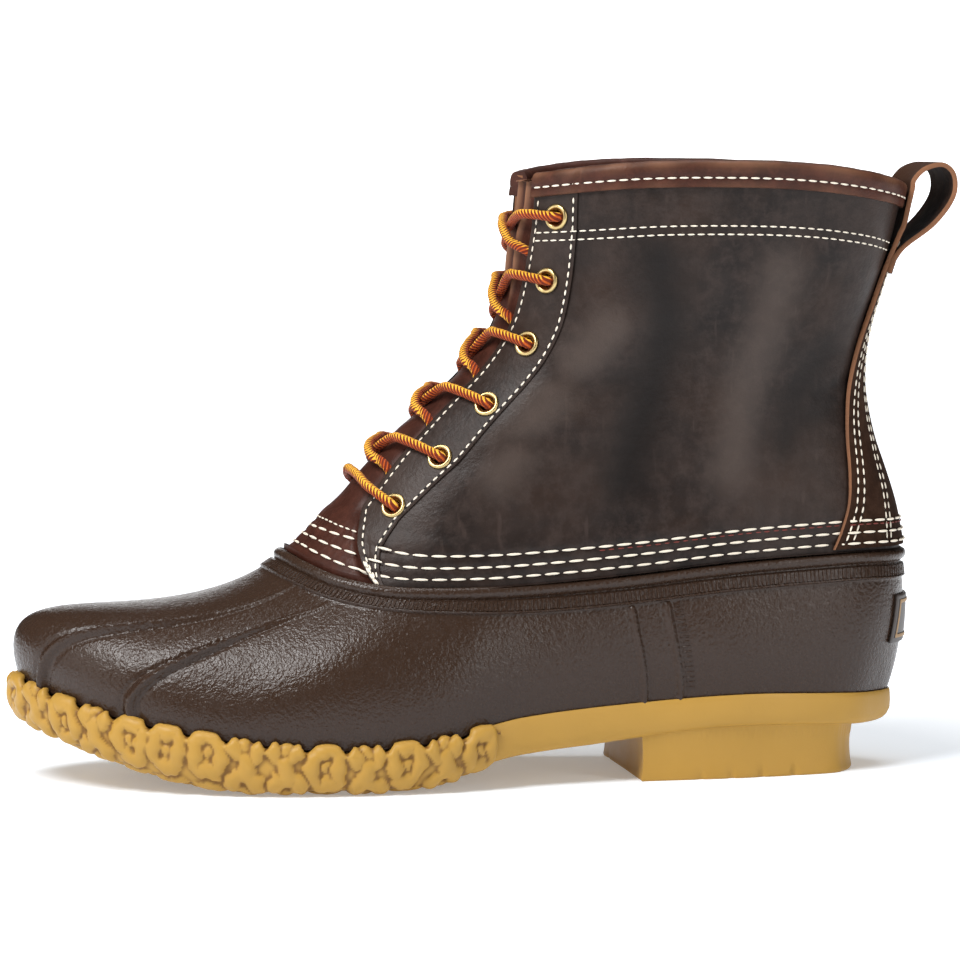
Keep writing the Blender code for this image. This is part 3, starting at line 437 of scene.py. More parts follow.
def place_object(name, bm, materials, stands_for=(), smooth_angle=40.0):
    """Object of a finished bmesh, at the origin, that rides on the boot."""
    bmesh.ops.recalc_face_normals(bm, faces=bm.faces)
    bmesh.ops.translate(bm, verts=bm.verts, vec=Vector(TO_BOOT))
    mesh = bpy.data.meshes.new(name)
    bm.to_mesh(mesh)
    bm.free()
    mesh.shade_smooth()
    mesh.set_sharp_from_angle(angle=math.radians(smooth_angle))
    thing = bpy.data.objects.new(name, mesh)
    bpy.context.scene.collection.objects.link(thing)
    for material in materials if isinstance(materials, tuple) else (materials,):
        mesh.materials.append(material)
    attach(thing, "root")
    for node_name in stands_for:
        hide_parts(node_name)


# Materials

def add(tree, kind, inputs=None, **settings):
    """Node of a kind with its settings, and its inputs set or linked."""
    made = tree.nodes.new(kind)
    for key, value in settings.items():
        setattr(made, key, value)
    for key, value in (inputs or {}).items():
        if isinstance(value, bpy.types.NodeSocket):
            tree.links.new(value, made.inputs[key])
        else:
            made.inputs[key].default_value = value
    return made


def mix(tree, share, first, second):
    """Colour between two others."""
    made = add(tree, "ShaderNodeMix", data_type="RGBA")
    for index, value in ((0, share), (6, first), (7, second)):
        if isinstance(value, bpy.types.NodeSocket):
            tree.links.new(value, made.inputs[index])
        elif index == 0:
            made.inputs[index].default_value = value
        else:
            made.inputs[index].default_value = (*value, 1.0)
    return made.outputs[2]


def ranged(tree, value, low, high, to_low=0.0, to_high=1.0):
    """Value moved from one range to another and kept inside it."""
    made = add(tree, "ShaderNodeMapRange", {"Value": value, "From Min": low, "From Max": high,
                                            "To Min": to_low, "To Max": to_high})
    return made.outputs["Result"]


def noise(tree, where, scale, detail=3.0, roughness=0.5):
    """Noise value at a scale."""
    return add(tree, "ShaderNodeTexNoise", {"Vector": where, "Scale": scale, "Detail": detail,
                                            "Roughness": roughness}).outputs["Fac"]


def material_named(name):
    """New material, its node tree, its shader and the object's own coordinates."""
    material = bpy.data.materials.new(name)
    material.use_nodes = True
    tree = material.node_tree
    shader = tree.nodes["Principled BSDF"]
    where = add(tree, "ShaderNodeTexCoord").outputs["Object"]
    return material, tree, shader, where


def finish(tree, shader, colour, dull, gloss):
    """Colour and roughness of a shader from sockets, and its specular level."""
    tree.links.new(colour, shader.inputs["Base Color"])
    tree.links.new(dull, shader.inputs["Roughness"])
    shader.inputs["Specular IOR Level"].default_value = gloss


def bump(tree, shader, height, distance, strength=1.0):
    """Bump of a shader from a height value."""
    made = add(tree, "ShaderNodeBump", {"Height": height, "Distance": distance,
                                        "Strength": strength})
    tree.links.new(made.outputs["Normal"], shader.inputs["Normal"])


def sum_of(tree, *values):
    """Sum of several values."""
    total = values[0]
    for value in values[1:]:
        total = add(tree, "ShaderNodeMath", {0: total, 1: value},
                    operation="ADD").outputs["Value"]
    return total


def times(tree, value, factor):
    """Value times a factor."""
    return add(tree, "ShaderNodeMath", {0: value, 1: factor},
               operation="MULTIPLY").outputs["Value"]


def shared_effect(name, inputs, build):
    """Node group with named inputs and the values that build(tree, inputs) gives out by name."""
    group = bpy.data.node_groups.new(name, "ShaderNodeTree")
    for label, kind in inputs.items():
        group.interface.new_socket(label, in_out="INPUT", socket_type=kind)
    values = build(group, add(group, "NodeGroupInput").outputs)
    for label in values:
        group.interface.new_socket(label, in_out="OUTPUT", socket_type="NodeSocketFloat")
    add(group, "NodeGroupOutput", values)
    return group


def hide_values(tree, inputs):
    """Masks of oiled leather's clouds, spots and scratches, its lighter crests from rubbing and
    painted highlight, its painted shade in hollows, its sheen and its grain.
    """
    where = inputs["Where"]
    wear_and_shading = inputs["Wear And Shading"]
    turned = add(tree, "ShaderNodeMapping", {"Vector": where, "Rotation": (0.0, 0.35, 0.0),
                                             "Scale": (1.0, 1.0, 0.16)}).outputs["Vector"]
    grain = sum_of(tree, noise(tree, where, 900.0, 3.0, 0.6),
                   times(tree, noise(tree, where, 330.0, 4.0, 0.6), 1.1),
                   times(tree, noise(tree, where, 80.0, 3.0, 0.5), 1.8))
    return {
        "Cloud": ranged(tree, noise(tree, where, 20.0, 5.0, 0.62), 0.38, 0.64),
        "Warmth": ranged(tree, noise(tree, where, 34.0, 4.0, 0.55), 0.45, 0.75, 0.0, 0.8),
        "Mottle": ranged(tree, noise(tree, where, 190.0, 6.0, 0.72), 0.44, 0.68, 0.0, 0.6),
        "Scratch": ranged(tree, noise(tree, turned, 340.0, 2.0, 0.5), 0.66, 0.78, 0.0, 0.4),
        # Lighter on crests, partly rubbing and partly painted highlight; darker in hollows as
        # painted shade.
        "Rubbed And Lit": ranged(tree, wear_and_shading, 0.05, 1.0, 0.0, 0.8),
        "Painted Shade": ranged(tree, wear_and_shading, -1.0, -0.05, 0.85, 0.0),
        "Sheen": noise(tree, where, 48.0, 4.0, 0.6),
        "Grain": grain,
    }


def tone_values(tree, inputs):
    """Slow unevenness of a tone, and a fine grain."""
    return {"Cloud": noise(tree, inputs["Where"], 60.0, 3.0, 0.5),
            "Grain": noise(tree, inputs["Where"], inputs["Grain Scale"], 3.0, 0.6)}


OILED_HIDE = shared_effect("oiled_hide", {"Where": "NodeSocketVector",
                                          "Wear And Shading": "NodeSocketFloat"}, hide_values)
UNEVEN_TONE = shared_effect("uneven_tone", {"Where": "NodeSocketVector",
                                            "Grain Scale": "NodeSocketFloat"}, tone_values)


def place_effect(tree, group, inputs):
    """Outputs of a shared effect placed in a material."""
    return add(tree, "ShaderNodeGroup", inputs, node_tree=group).outputs


def scaled(colour, factor):
    """Colour times a factor, not over 1."""
    return tuple(min(c * factor, 1.0) for c in colour)


def wear_and_shading_of(tree):
    """Value that a mesh carries, from -1 for painted shade in hollows to 1 where rubbing and a
    painted highlight lighten it.
    """
    return add(tree, "ShaderNodeAttribute", attribute_name="wear_and_shading").outputs["Fac"]


def leather(name, deep, mid, warm, rubbed_and_lit, roughness, gloss=0.17):
    """Oiled leather: cloudy and mottled, with fine grain, scratches, a lighter tone on crests from
    rubbing and painted highlight, and painted shade in hollows.
    """
    material, tree, shader, where = material_named(name)
    hide = place_effect(tree, OILED_HIDE, {"Where": where, "Wear And Shading": wear_and_shading_of(tree)})
    colour = mix(tree, hide["Cloud"], deep, mid)
    # The last two tones paint light: a lighter one on crests, partly rubbing and partly painted
    # highlight, and half the deep colour as painted shade in hollows.
    for mask, tone in (("Warmth", warm), ("Mottle", scaled(mid, 1.5)),
                       ("Scratch", scaled(mid, 1.9)), ("Rubbed And Lit", rubbed_and_lit),
                       ("Painted Shade", scaled(deep, 0.5))):
        colour = mix(tree, hide[mask], colour, tone)
    dull = ranged(tree, hide["Sheen"], 0.3, 0.7, roughness - 0.08, roughness + 0.1)
    finish(tree, shader, colour, dull, gloss)
    bump(tree, shader, hide["Grain"], 0.22 * MM, 0.6)
    return material


def plain(name, colour, roughness, metallic=0.0, grain=0.0, scale=500.0, spread=0.12,
          gloss=0.5):
    """One-colour material with a little unevenness and an optional fine grain."""
    material, tree, shader, where = material_named(name)
    tone = place_effect(tree, UNEVEN_TONE, {"Where": where, "Grain Scale": scale})
    tones = mix(tree, tone["Cloud"], scaled(colour, 1.0 - spread), scaled(colour, 1.0 + spread))
    tree.links.new(tones, shader.inputs["Base Color"])
    shader.inputs["Roughness"].default_value = roughness
    shader.inputs["Metallic"].default_value = metallic
    shader.inputs["Specular IOR Level"].default_value = gloss
    if grain:
        bump(tree, shader, tone["Grain"], grain)
    return material


def rubber(name):
    """Moulded rubber with a fine pebbled skin and a low sheen."""
    material, tree, shader, where = material_named(name)
    cloud = noise(tree, where, 14.0, 3.0, 0.5)
    colour = mix(tree, cloud, (0.029, 0.0150, 0.0088), (0.038, 0.0200, 0.0122))
    dull = ranged(tree, noise(tree, where, 320.0, 2.0, 0.5), 0.3, 0.7, 0.21, 0.31)
    finish(tree, shader, colour, dull, 0.30)
    height = sum_of(tree, noise(tree, where, 780.0, 2.0, 0.55),
                    times(tree, noise(tree, where, 1700.0, 1.0, 0.5), 0.35),
                    times(tree, noise(tree, where, 170.0, 2.0, 0.5), 0.5))
    bump(tree, shader, height, 0.36 * MM, 0.8)
    return material


def tan_rubber(name, colour):
    """Soft tan rubber: smooth, slightly cloudy, and browner down in its hollows as painted shade.
    """
    material, tree, shader, where = material_named(name)
    cloud = noise(tree, where, 26.0, 4.0, 0.6)
    tone = mix(tree, cloud, scaled(colour, 0.88), scaled(colour, 1.08))
    # Painted shade: browner where the mesh marks a hollow.
    tone = mix(tree, ranged(tree, wear_and_shading_of(tree), -1.0, -0.1, 0.85, 0.0), tone,
               (0.150, 0.062, 0.012))
    dull = ranged(tree, noise(tree, where, 60.0, 3.0, 0.5), 0.3, 0.7, 0.38, 0.52)
    finish(tree, shader, tone, dull, 0.25)
    height = sum_of(tree, noise(tree, where, 160.0, 3.0, 0.5),
                    times(tree, noise(tree, where, 900.0, 2.0, 0.5), 0.35))
    bump(tree, shader, height, 0.22 * MM, 0.6)
    return material


def braided(name):
    """Braided lace: gold along its upper side, rust below, with slanting ticks between and painted
    shade in the gaps between ticks.
    """
    material, tree, shader, where = material_named(name)
    place = add(tree, "ShaderNodeUVMap", uv_map="UVMap").outputs["UV"]
    axes = add(tree, "ShaderNodeSeparateXYZ", {"Vector": place})
    centred = sum_of(tree, axes.outputs["X"], -0.5)
    up = add(tree, "ShaderNodeMath", {0: centred}, operation="ABSOLUTE").outputs["Value"]
    up = times(tree, up, 2.0)
    phase = sum_of(tree, times(tree, axes.outputs["Y"], 1.0 / 1.45), times(tree, up, 2.6))
    wave = add(tree, "ShaderNodeMath", {0: times(tree, phase, math.tau)},
               operation="SINE").outputs["Value"]
    gold = ranged(tree, sum_of(tree, up, times(tree, wave, 0.22)), 0.80, 0.88)
    # Both tones darken where the ticks dip: painted shade in the braid's gaps.
    rust_and_gap_shade = mix(tree, ranged(tree, wave, -0.2, 0.9), (0.13, 0.014, 0.004), (0.46, 0.080, 0.008))
    gold_and_gap_shade = mix(tree, ranged(tree, wave, -0.85, -0.35), (0.36, 0.105, 0.010),
                 (0.86, 0.43, 0.035))
    tree.links.new(mix(tree, gold, rust_and_gap_shade, gold_and_gap_shade), shader.inputs["Base Color"])
    shader.inputs["Roughness"].default_value = 0.7
    shader.inputs["Sheen Weight"].default_value = 0.05
    shader.inputs["Specular IOR Level"].default_value = 0.2
    height = sum_of(tree, times(tree, wave, 0.5), times(tree, noise(tree, where, 2600.0, 2.0), 0.5))
    bump(tree, shader, height, 0.22 * MM, 0.8)
    return material


RUBBER = rubber("moulded_rubber")
SOLE = tan_rubber("sole_rubber", (0.445, 0.248, 0.046))
DARK_LEATHER = leather("dark_oiled_leather", (0.0105, 0.0068, 0.0056),
                       (0.030, 0.0200, 0.0165), (0.032, 0.0165, 0.0105),
                       (0.082, 0.060, 0.050), 0.42)
RED_LEATHER = leather("red_oiled_leather", (0.026, 0.0080, 0.0048), (0.058, 0.0180, 0.0110),
                      (0.047, 0.0135, 0.0075), (0.250, 0.120, 0.066), 0.48)
STRAP_LEATHER = leather("strap_leather", (0.017, 0.0085, 0.0055), (0.036, 0.0180, 0.0110),
                        (0.040, 0.0170, 0.0090), (0.080, 0.045, 0.027), 0.75, 0.04)
RAW_EDGE = plain("raw_leather_edge", (0.205, 0.084, 0.036), 0.85, grain=0.35 * MM, scale=900.0,
                 spread=0.5)
FLESH_SIDE = plain("leather_flesh_side", (0.040, 0.017, 0.009), 0.85, grain=0.2 * MM, scale=700.0,
                   gloss=0.12, spread=0.25)
LINING = plain("fabric_lining", (0.10, 0.070, 0.045), 0.9, grain=0.2 * MM, scale=1500.0)
THREAD = plain("waxed_thread", (0.80, 0.71, 0.58), 0.55, grain=0.05 * MM, scale=3000.0)
# Near-black stands in for the shade inside needle holes: painted shade.
HOLE_SHADE = plain("stitch_hole_shade", (0.012, 0.008, 0.007), 0.9)
BRASS = plain("brass", (0.50, 0.37, 0.165), 0.30, metallic=1.0, spread=0.05)
LACE = braided("lace_cord")
PATCH_FRAME = plain("patch_frame", (0.30, 0.16, 0.045), 0.5)
RED_THREAD = plain("red_thread", (0.16, 0.018, 0.012), 0.6)
PATCH = plain("patch_rubber", (0.040, 0.028, 0.022), 0.45)


# Rubber foot

# Toe ridges: share of the way down from the rim, section.
TOE_RIDGES = (
    ((0.0, 7.9), (0.07, 8.02), (0.19, 8.27), (0.36, 8.47), (0.51, 8.56), (0.63, 8.62),
     (0.73, 8.67), (0.83, 8.71), (0.93, 8.72), (1.0, 8.66)),
    ((0.0, 8.89), (0.2, 9.14), (0.4, 9.38), (0.57, 9.57), (0.73, 9.73), (0.89, 9.89),
     (1.0, 10.0)),
    ((0.0, 13.9), (0.2, 13.3), (0.4, 12.95), (0.6, 12.66), (0.8, 12.48), (1.0, 12.4)),
)
SIDE_RIDGES = (3.66, 4.0, 18.0, 18.34)
TOE_RIDGE = (2.4 * MM, 2.1 * MM)
SIDE_RIDGE = (1.5 * MM, 0.9 * MM)


def section_width(u):
    """Length of the feather line over one section at u."""
    u = np.asarray(u, dtype=float)
    return np.linalg.norm(feather(u + 0.1) - feather(u - 0.1), axis=-1) / 0.2


def ridges(u, share):
    """How far the ridges stand out, with share 0 at the rim and 1 at the feather."""
    proud = np.zeros(np.broadcast(u, share).shape)
    lines = [(smooth_table(line, share)[..., 1], TOE_RIDGE, 0.55) for line in TOE_RIDGES]
    lines += [(place, SIDE_RIDGE, 0.04) for place in SIDE_RIDGES]
    for place, (half_width, height), fade in lines:
        far = np.abs(u - place) * section_width(place) / half_width
        ends = 0.12 + 0.88 * np.clip(share / fade, 0.0, 1.0) ** 1.1
        crest = np.where(far < 1.0, np.cos(np.pi / 2.0 * np.minimum(far, 1.0)) ** 1.4, 0.0)
        gutter = -0.22 * np.exp(-((far - 1.3) / 0.38) ** 2)
        proud = proud + height * (crest + gutter) * ends
    return proud


def foot_columns(spacing):
    """Sections round the foot at an even spacing, closer together at the ridges."""
    u = np.linspace(0.0, AROUND, 4401)
    density = section_width(u) / spacing
    for place in SIDE_RIDGES:
        width = 3.4 * MM / section_width(place)
        density = density * (1.0 + 1.6 * np.exp(-((u - place) / width) ** 2))
    for low, high in ((7.8, 10.2), (12.2, 14.0)):
        density = density * np.where((u > low) & (u < high), 1.6, 1.0)
    total = np.concatenate(((0.0,), np.cumsum(density[1:] * np.diff(u))))
    count = int(round(total[-1]))
    return np.interp(np.linspace(0.0, total[-1], count + 1), total, u)


# Drop below the ledge and stand-out of the rim's rows: groove line, ribbed band and roll.
RIM_ROWS = ((9.8, 0.0), (9.45, 0.15), (9.25, 0.75), (9.0, 1.05), (8.7, 1.0), (8.5, 0.6),
            (7.0, 0.62), (5.3, 0.65), (4.8, 0.45), (4.4, 0.05), (4.0, 0.05), (3.7, 0.6),
            (3.4, 1.25), (2.9, 1.8), (2.3, 2.1), (1.6, 2.2), (0.9, 2.1), (0.4, 1.75))
RIB_ROWS = ((8.6, 0.35), (8.35, 1.0), (7.2, 1.02), (6.1, 1.02), (5.1, 1.0), (4.85, 0.4))
RIB_PITCH = 1.45 * MM


def wall_foot(u, offset, lift):
    """Point of the leather's wall, moved out by offset, at a lift above the ledge."""
    ledge = rim(u)[..., 2]
    start = shaft(u, 0.0, offset)
    point = shaft(u, (ledge + lift - start[..., 2]) / (COLLAR_HEIGHT - ledge), offset)
    point[..., 2] = ledge + lift
    return point


def make_shell():
    """Rubber foot: outer face with its ridges, rim roll, inner flange and inside."""
    u = foot_columns(1.15 * MM)
    full = wall_length(u)
    rows = []
    plain_top = RIM_ROWS[0][0] * MM
    for share in np.linspace(1.0, 0.0, 58)[:-1]:
        drop = plain_top + (full - plain_top) * share
        rows.append(wall(u, drop, ridges(u, share)))
    rows[0][:, 2] = floor_z(rows[0][:, 0]) - 0.4 * MM
    for drop, proud in RIM_ROWS:
        rows.append(wall(u, 0.0 * u + drop * MM, proud * MM))
    land = rim(u) + outward(rim, u) * 1.4 * MM
    rows.append(land)
    behind = -(LEATHER_WALL + 0.9 * MM)
    flange = FLANGE_HEIGHT / SHAFT_RISE
    rows.append(wall_foot(u, behind, 0.0))
    rows.append(shaft(u, 0.5 * flange, behind))
    rows.append(shaft(u, flange, behind))
    rows.append(shaft(u, flange, behind - 1.4 * MM))
    rows.append(wall_foot(u, behind - 1.4 * MM, -1.0 * MM))
    for share in np.linspace(0.12, 1.0, 9):
        inner = -RUBBER_WALL - (1.0 - share) * 1.2 * MM
        rows.append(wall(u, full * share, inner))
    rows[-1][:, 2] = floor_z(rows[-1][:, 0])
    rows.append(rows[0])
    place_object("shell", skin(np.array(rows), merge=True), RUBBER, ("rubber_shell",))


def make_rim_ribs():
    """Ribbed band under the rim's roll."""
    u = np.linspace(0.0, AROUND, 4401)
    length = running(wall(u, 0.0 * u + 6.7 * MM))
    count = int(round(length[-1] / RIB_PITCH))
    shares = (np.arange(count)[:, None] + np.array((0.0, 0.3, 0.42, 0.8, 0.92))).ravel() / count
    shares = np.append(shares, 1.0)
    columns = np.interp(shares * length[-1], length, u)
    on_rib = np.tile((0.0, 0.0, 1.0, 1.0, 0.0), count)
    on_rib = np.append(on_rib, 0.0)
    rows = []
    for n, (drop, proud) in enumerate(RIB_ROWS):
        low = 0.35 if n in (0, len(RIB_ROWS) - 1) else 0.68
        rows.append(wall(columns, 0.0 * columns + drop * MM,
                         (low + (proud - low) * on_rib) * MM))
    place_object("rim_ribs", skin(np.array(rows), merge=True), RUBBER, (), 25.0)


def make_side_ladders():
    """Short moulded bars beside the rear ridge of each side."""
    bm = bmesh.new()
    for place, way in ((3.66, -1.0), (18.34, 1.0)):
        width = float(section_width(place))
        for n in range(19):
            drop = (11.6 + 1.75 * n) * MM
            u = np.array((place + way * 3.6 * MM / width,))
            drop = np.array((drop,))
            if drop[0] > float(wall_length(u)[0]) - 3.0 * MM:
                continue
            middle = wall(u, drop)[0]
            side = unit(wall(u + 0.02, drop)[0] - middle)
            out = unit(wall(u, drop, 1.0 * MM)[0] - middle)
            turn = Matrix((side, np.cross(out, side), out)).transposed().to_4x4()
            size = Matrix.Diagonal((2.9 * MM, 0.5 * MM, 0.55 * MM, 1.0))
            bmesh.ops.create_cube(bm, size=1.0, matrix=Matrix.Translation(middle) @ turn @ size)
    bmesh.ops.bevel(bm, geom=bm.edges, offset=0.12 * MM, segments=1, profile=0.5,
                    affect="EDGES", material=-1)
    place_object("side_ladders", bm, RUBBER, ())


# Sole

# Lobes of the two kinds of chain link: kind, along, down, half width, half height, turn in
# degrees, share of the full height. Lengths are millimetres from the link's middle along the edge
# and from the lip.
LINK_LOBES = (
    ("ring", -4.3, 8.6, 2.7, 6.0, -4.0, 1.0), ("ring", 4.3, 8.8, 2.7, 6.0, 4.0, 1.0),
    ("ring", 0.0, 3.4, 5.2, 2.8, 0.0, 1.0), ("ring", -0.2, 14.0, 4.8, 2.7, 0.0, 0.95),
    ("ring", 0.0, 8.4, 1.5, 1.7, 0.0, 0.6), ("ring", 0.1, 11.4, 1.1, 1.2, 0.0, 0.5),
    ("ring", -0.5, 19.4, 6.2, 2.0, 3.0, 0.8), ("ring", 3.4, 23.6, 3.2, 2.4, 0.0, 0.8),
    ("ring", -3.6, 23.8, 3.1, 2.4, 0.0, 0.8),
    ("cross", 0.0, 9.6, 2.9, 4.4, 0.0, 1.0), ("cross", -4.2, 4.5, 2.6, 4.4, -34.0, 0.95),
    ("cross", 4.2, 4.8, 2.6, 4.6, 34.0, 1.0), ("cross", 0.2, 3.2, 1.9, 2.5, 0.0, 0.75),
    ("cross", -3.7, 14.8, 2.9, 4.1, 26.0, 1.0), ("cross", 3.7, 14.8, 2.9, 4.1, -26.0, 1.0),
    ("cross", 0.0, 12.6, 3.4, 2.6, 0.0, 1.0), ("cross", 0.0, 18.4, 3.6, 1.9, 0.0, 0.85),
    ("cross", -3.4, 24.0, 3.3, 2.8, 0.0, 0.8), ("cross", 3.4, 24.0, 3.3, 2.8, 0.0, 0.8),
)
LOBE_HEIGHT = 1.75 * MM
LINK_BED = 1.55 * MM
LINK_PITCH = 12.9 * MM
LINK_KINDS = ("ring", "cross", "ring", "cross", "ring", "cross", "cross", "ring", "ring", "ring",
              "cross", "ring", "cross")


def link_relief(where, down):
    """Height of the chain links and the bed that they lie on, over the sole's hidden core."""
    place = where / LINK_PITCH
    nearest = np.floor(place).astype(int)
    lobes = np.zeros(where.shape)
    bed = np.clip((down / MM - 2.6) / 1.2, 0.0, 1.0)
    for shift in (-1, 0, 1):
        number = nearest + shift
        kind_is_ring = np.array(LINK_KINDS)[number % len(LINK_KINDS)] == "ring"
        x = (where - (number + 0.5) * LINK_PITCH) / MM
        wobble = np.sin(number * 2.4) * 0.5
        fall = down / MM
        x = x + 0.55 * np.sin(fall * 0.62 + number * 1.3) + 0.3 * np.sin(fall * 1.4 + x * 0.7)
        fall = fall + 0.55 * np.sin(x * 0.75 + number * 2.1) + 0.25 * np.sin(x * 1.9 + fall * 0.5)
        for kind, at_x, at_y, half_x, half_y, turn, height in LINK_LOBES:
            angle = math.radians(turn) + 0.12 * np.sin(number * 1.7 + at_x)
            dy = fall - at_y - wobble
            bend = 0.036 * np.sign(at_x) * (kind == "ring") * (abs(at_x) > 4.0)
            dx = x - at_x - 0.35 * np.sin(number * 3.1 + at_y) + bend * dy * dy
            px = np.abs(dx * np.cos(angle) + dy * np.sin(angle))
            py = np.abs(-dx * np.sin(angle) + dy * np.cos(angle))
            wanted = kind_is_ring if kind == "ring" else ~kind_is_ring
            r = (px / half_x) ** 2.2 + (py / half_y) ** 2.2
            dome = height * np.clip(1.0 - r, 0.0, 1.0) ** 0.5
            lobes = np.maximum(lobes, np.where(wanted, dome, 0.0))
            r = (px / (half_x + 1.0)) ** 2.5 + (py / (half_y + 1.0)) ** 2.5
            bed = np.maximum(bed, np.where(wanted, np.clip((1.0 - r) * 3.0, 0.0, 1.0), 0.0))
    from_middle = np.abs(2.0 * (place - nearest) - 1.0)
    shown = np.clip((down / MM - 0.2 - 4.2 * from_middle ** 2.6) / 0.9, 0.0, 1.0)
    return (bed * LINK_BED + lobes * LOBE_HEIGHT + 0.6 * MM) * shown - 0.6 * MM


def spread(values, reach):
    """Values averaged with their neighbours along both ways of a grid."""
    for axis in (0, 1):
        total = values.copy()
        for n in range(1, reach + 1):
            total += np.roll(values, n, axis) + np.roll(values, -n, axis)
        values = total / (2 * reach + 1)
    return values


def chain_end(side):
    """Section where the chain tread stops, on the outer (-1) or the inner (+1) side."""
    u = np.linspace(4.0, 7.0, 400) if side < 0 else np.linspace(18.0, 15.0, 400)
    share = foot_row(u)[:, 0]
    return float(u[np.argmin(np.abs(share - CHAIN_END))])


def even_sections(start, end, spacing):
    """Sections from start to end at an even spacing along the feather line."""
    u = np.linspace(start, end, 3000)
    length = running(feather(u))
    count = int(round(length[-1] / spacing))
    return np.interp(np.linspace(0.0, length[-1], count + 1), length, u), length[-1]


# Rounded edge of the chain tread: outward from the feather, and share of the depth below it.
CHAIN_PROFILE = ((0.2, 0.14), (0.9, 0.0), (1.7, -0.01), (2.3, 0.07), (2.5, 0.22), (2.3, 0.43),
                 (1.4, 0.64), (-0.4, 0.83), (-3.2, 0.95), (-7.0, 1.0), (-11.0, 1.0))
CHAIN_EDGE_ROWS = 54
CHAIN_LANE = 20.6 * MM


def through(line, count):
    """Points evenly spaced on a smooth curve through a few points, for arrays of polylines."""
    line = np.asarray(line, dtype=float)
    first = 2.0 * line[:1] - line[1:2]
    last = 2.0 * line[-1:] - line[-2:-1]
    padded = np.concatenate((first, line, last))
    fine = []
    for n in range(len(line) - 1):
        before, start, end, after = padded[n:n + 4]
        for t in np.arange(8) / 8.0:
            fine.append(hermite(start, end, (end - before) / 2.0, (after - start) / 2.0, t))
    fine.append(line[-1])
    fine = np.array(fine)
    flat = fine.reshape(len(fine), -1)
    length = running(flat)
    wanted = np.linspace(0.0, length[-1], count)
    columns = [np.interp(wanted, length, flat[:, n]) for n in range(flat.shape[1])]
    return np.stack(columns, axis=-1).reshape((count,) + fine.shape[1:])


def make_chain_tread():
    """Chain-patterned forefoot sole: its knobbed edge round the toe, and the underside."""
    outer = chain_end(-1) - 0.05
    inner = chain_end(1) + 0.05
    u, total = even_sections(outer, inner, 0.62 * MM)
    edge = feather(u)
    way = feather_way(u)
    deep = edge[:, 2] - tread_z(edge[:, 0])
    rows = []
    for out, share in CHAIN_PROFILE:
        row = edge + way * out * MM
        row[:, 2] = edge[:, 2] - share * deep
        if share > 0.9:
            row[:, 2] = tread_z(row[:, 0]) + CORE_DEPTH
        rows.append(row)
    rows = through(rows, CHAIN_EDGE_ROWS)
    down = running(np.moveaxis(rows, 0, 1)).T
    where = np.broadcast_to(np.linspace(0.0, total, len(u)), down.shape)
    relief = link_relief(where, down * 26.0 * MM / np.mean(down[-1]))

    last = rows[-1]
    tip = int(np.argmin(last[:, 0]))
    middle_x = np.maximum(last[:, 0], along(0.12))
    middle_y = (np.interp(middle_x, last[:tip + 1][::-1, 0], last[:tip + 1][::-1, 1])
                + np.interp(middle_x, last[tip:, 0], last[tip:, 1])) / 2.0
    under = []
    for share in np.linspace(0.0, 1.0, 39)[1:]:
        row = last.copy()
        row[:, 0] += (middle_x - last[:, 0]) * share
        row[:, 1] += (middle_y - last[:, 1]) * share
        row[:, 2] = tread_z(row[:, 0]) + CORE_DEPTH
        under.append(row)
    under = np.array(under)
    across = (under[..., 1] + 4.7 * CHAIN_LANE) % CHAIN_LANE
    plan = link_relief(under[..., 0] + LENGTH, across + 0.3 * MM)
    rows = np.concatenate((rows, under))
    relief = np.concatenate((relief, plan))
    relief = 0.45 * relief + 0.55 * spread(relief, 1)
    where = np.broadcast_to(where[0], relief.shape)

    out = unit(np.cross(np.gradient(rows, axis=1), np.gradient(rows, axis=0)))
    if np.mean(np.einsum("ijk,jk->ij", out[20:30], way)) < 0.0:
        out = -out
    out[CHAIN_EDGE_ROWS:] = (0.0, 0.0, -1.0)
    ends = np.clip(np.minimum(where, total - where) / (2.0 * MM), 0.0, 1.0) ** 0.5
    rise = (relief - 1.35 * MM) * ends - (1.0 - ends) * 2.4 * MM
    spots = rows + out * rise[..., None]
    spots[..., 2] = np.maximum(spots[..., 2], 0.0)
    # Painted shade: the sole's tone goes browner in the hollows between the links.
    painted_hollow_shade = np.clip((spread(relief, 2) - relief) / (0.34 * MM), 0.0, 1.0)
    place_object("chain_tread", skin(spots, wear_and_shading=-painted_hollow_shade), SOLE, ("outsole",), 60.0)


# Arch wedge's edge: outward from the feather, and share of the thickness below it.
WEDGE_PROFILE = ((-9.0, 0.02), (-0.6, 0.02), (0.35, -0.05), (0.8, -0.05), (1.05, 0.0),
                 (1.2, 0.12), (1.25, 0.35), (1.15, 0.6), (0.8, 0.8), (0.2, 0.92), (-0.8, 0.985),
                 (-2.5, 1.0), (-6.0, 1.0))


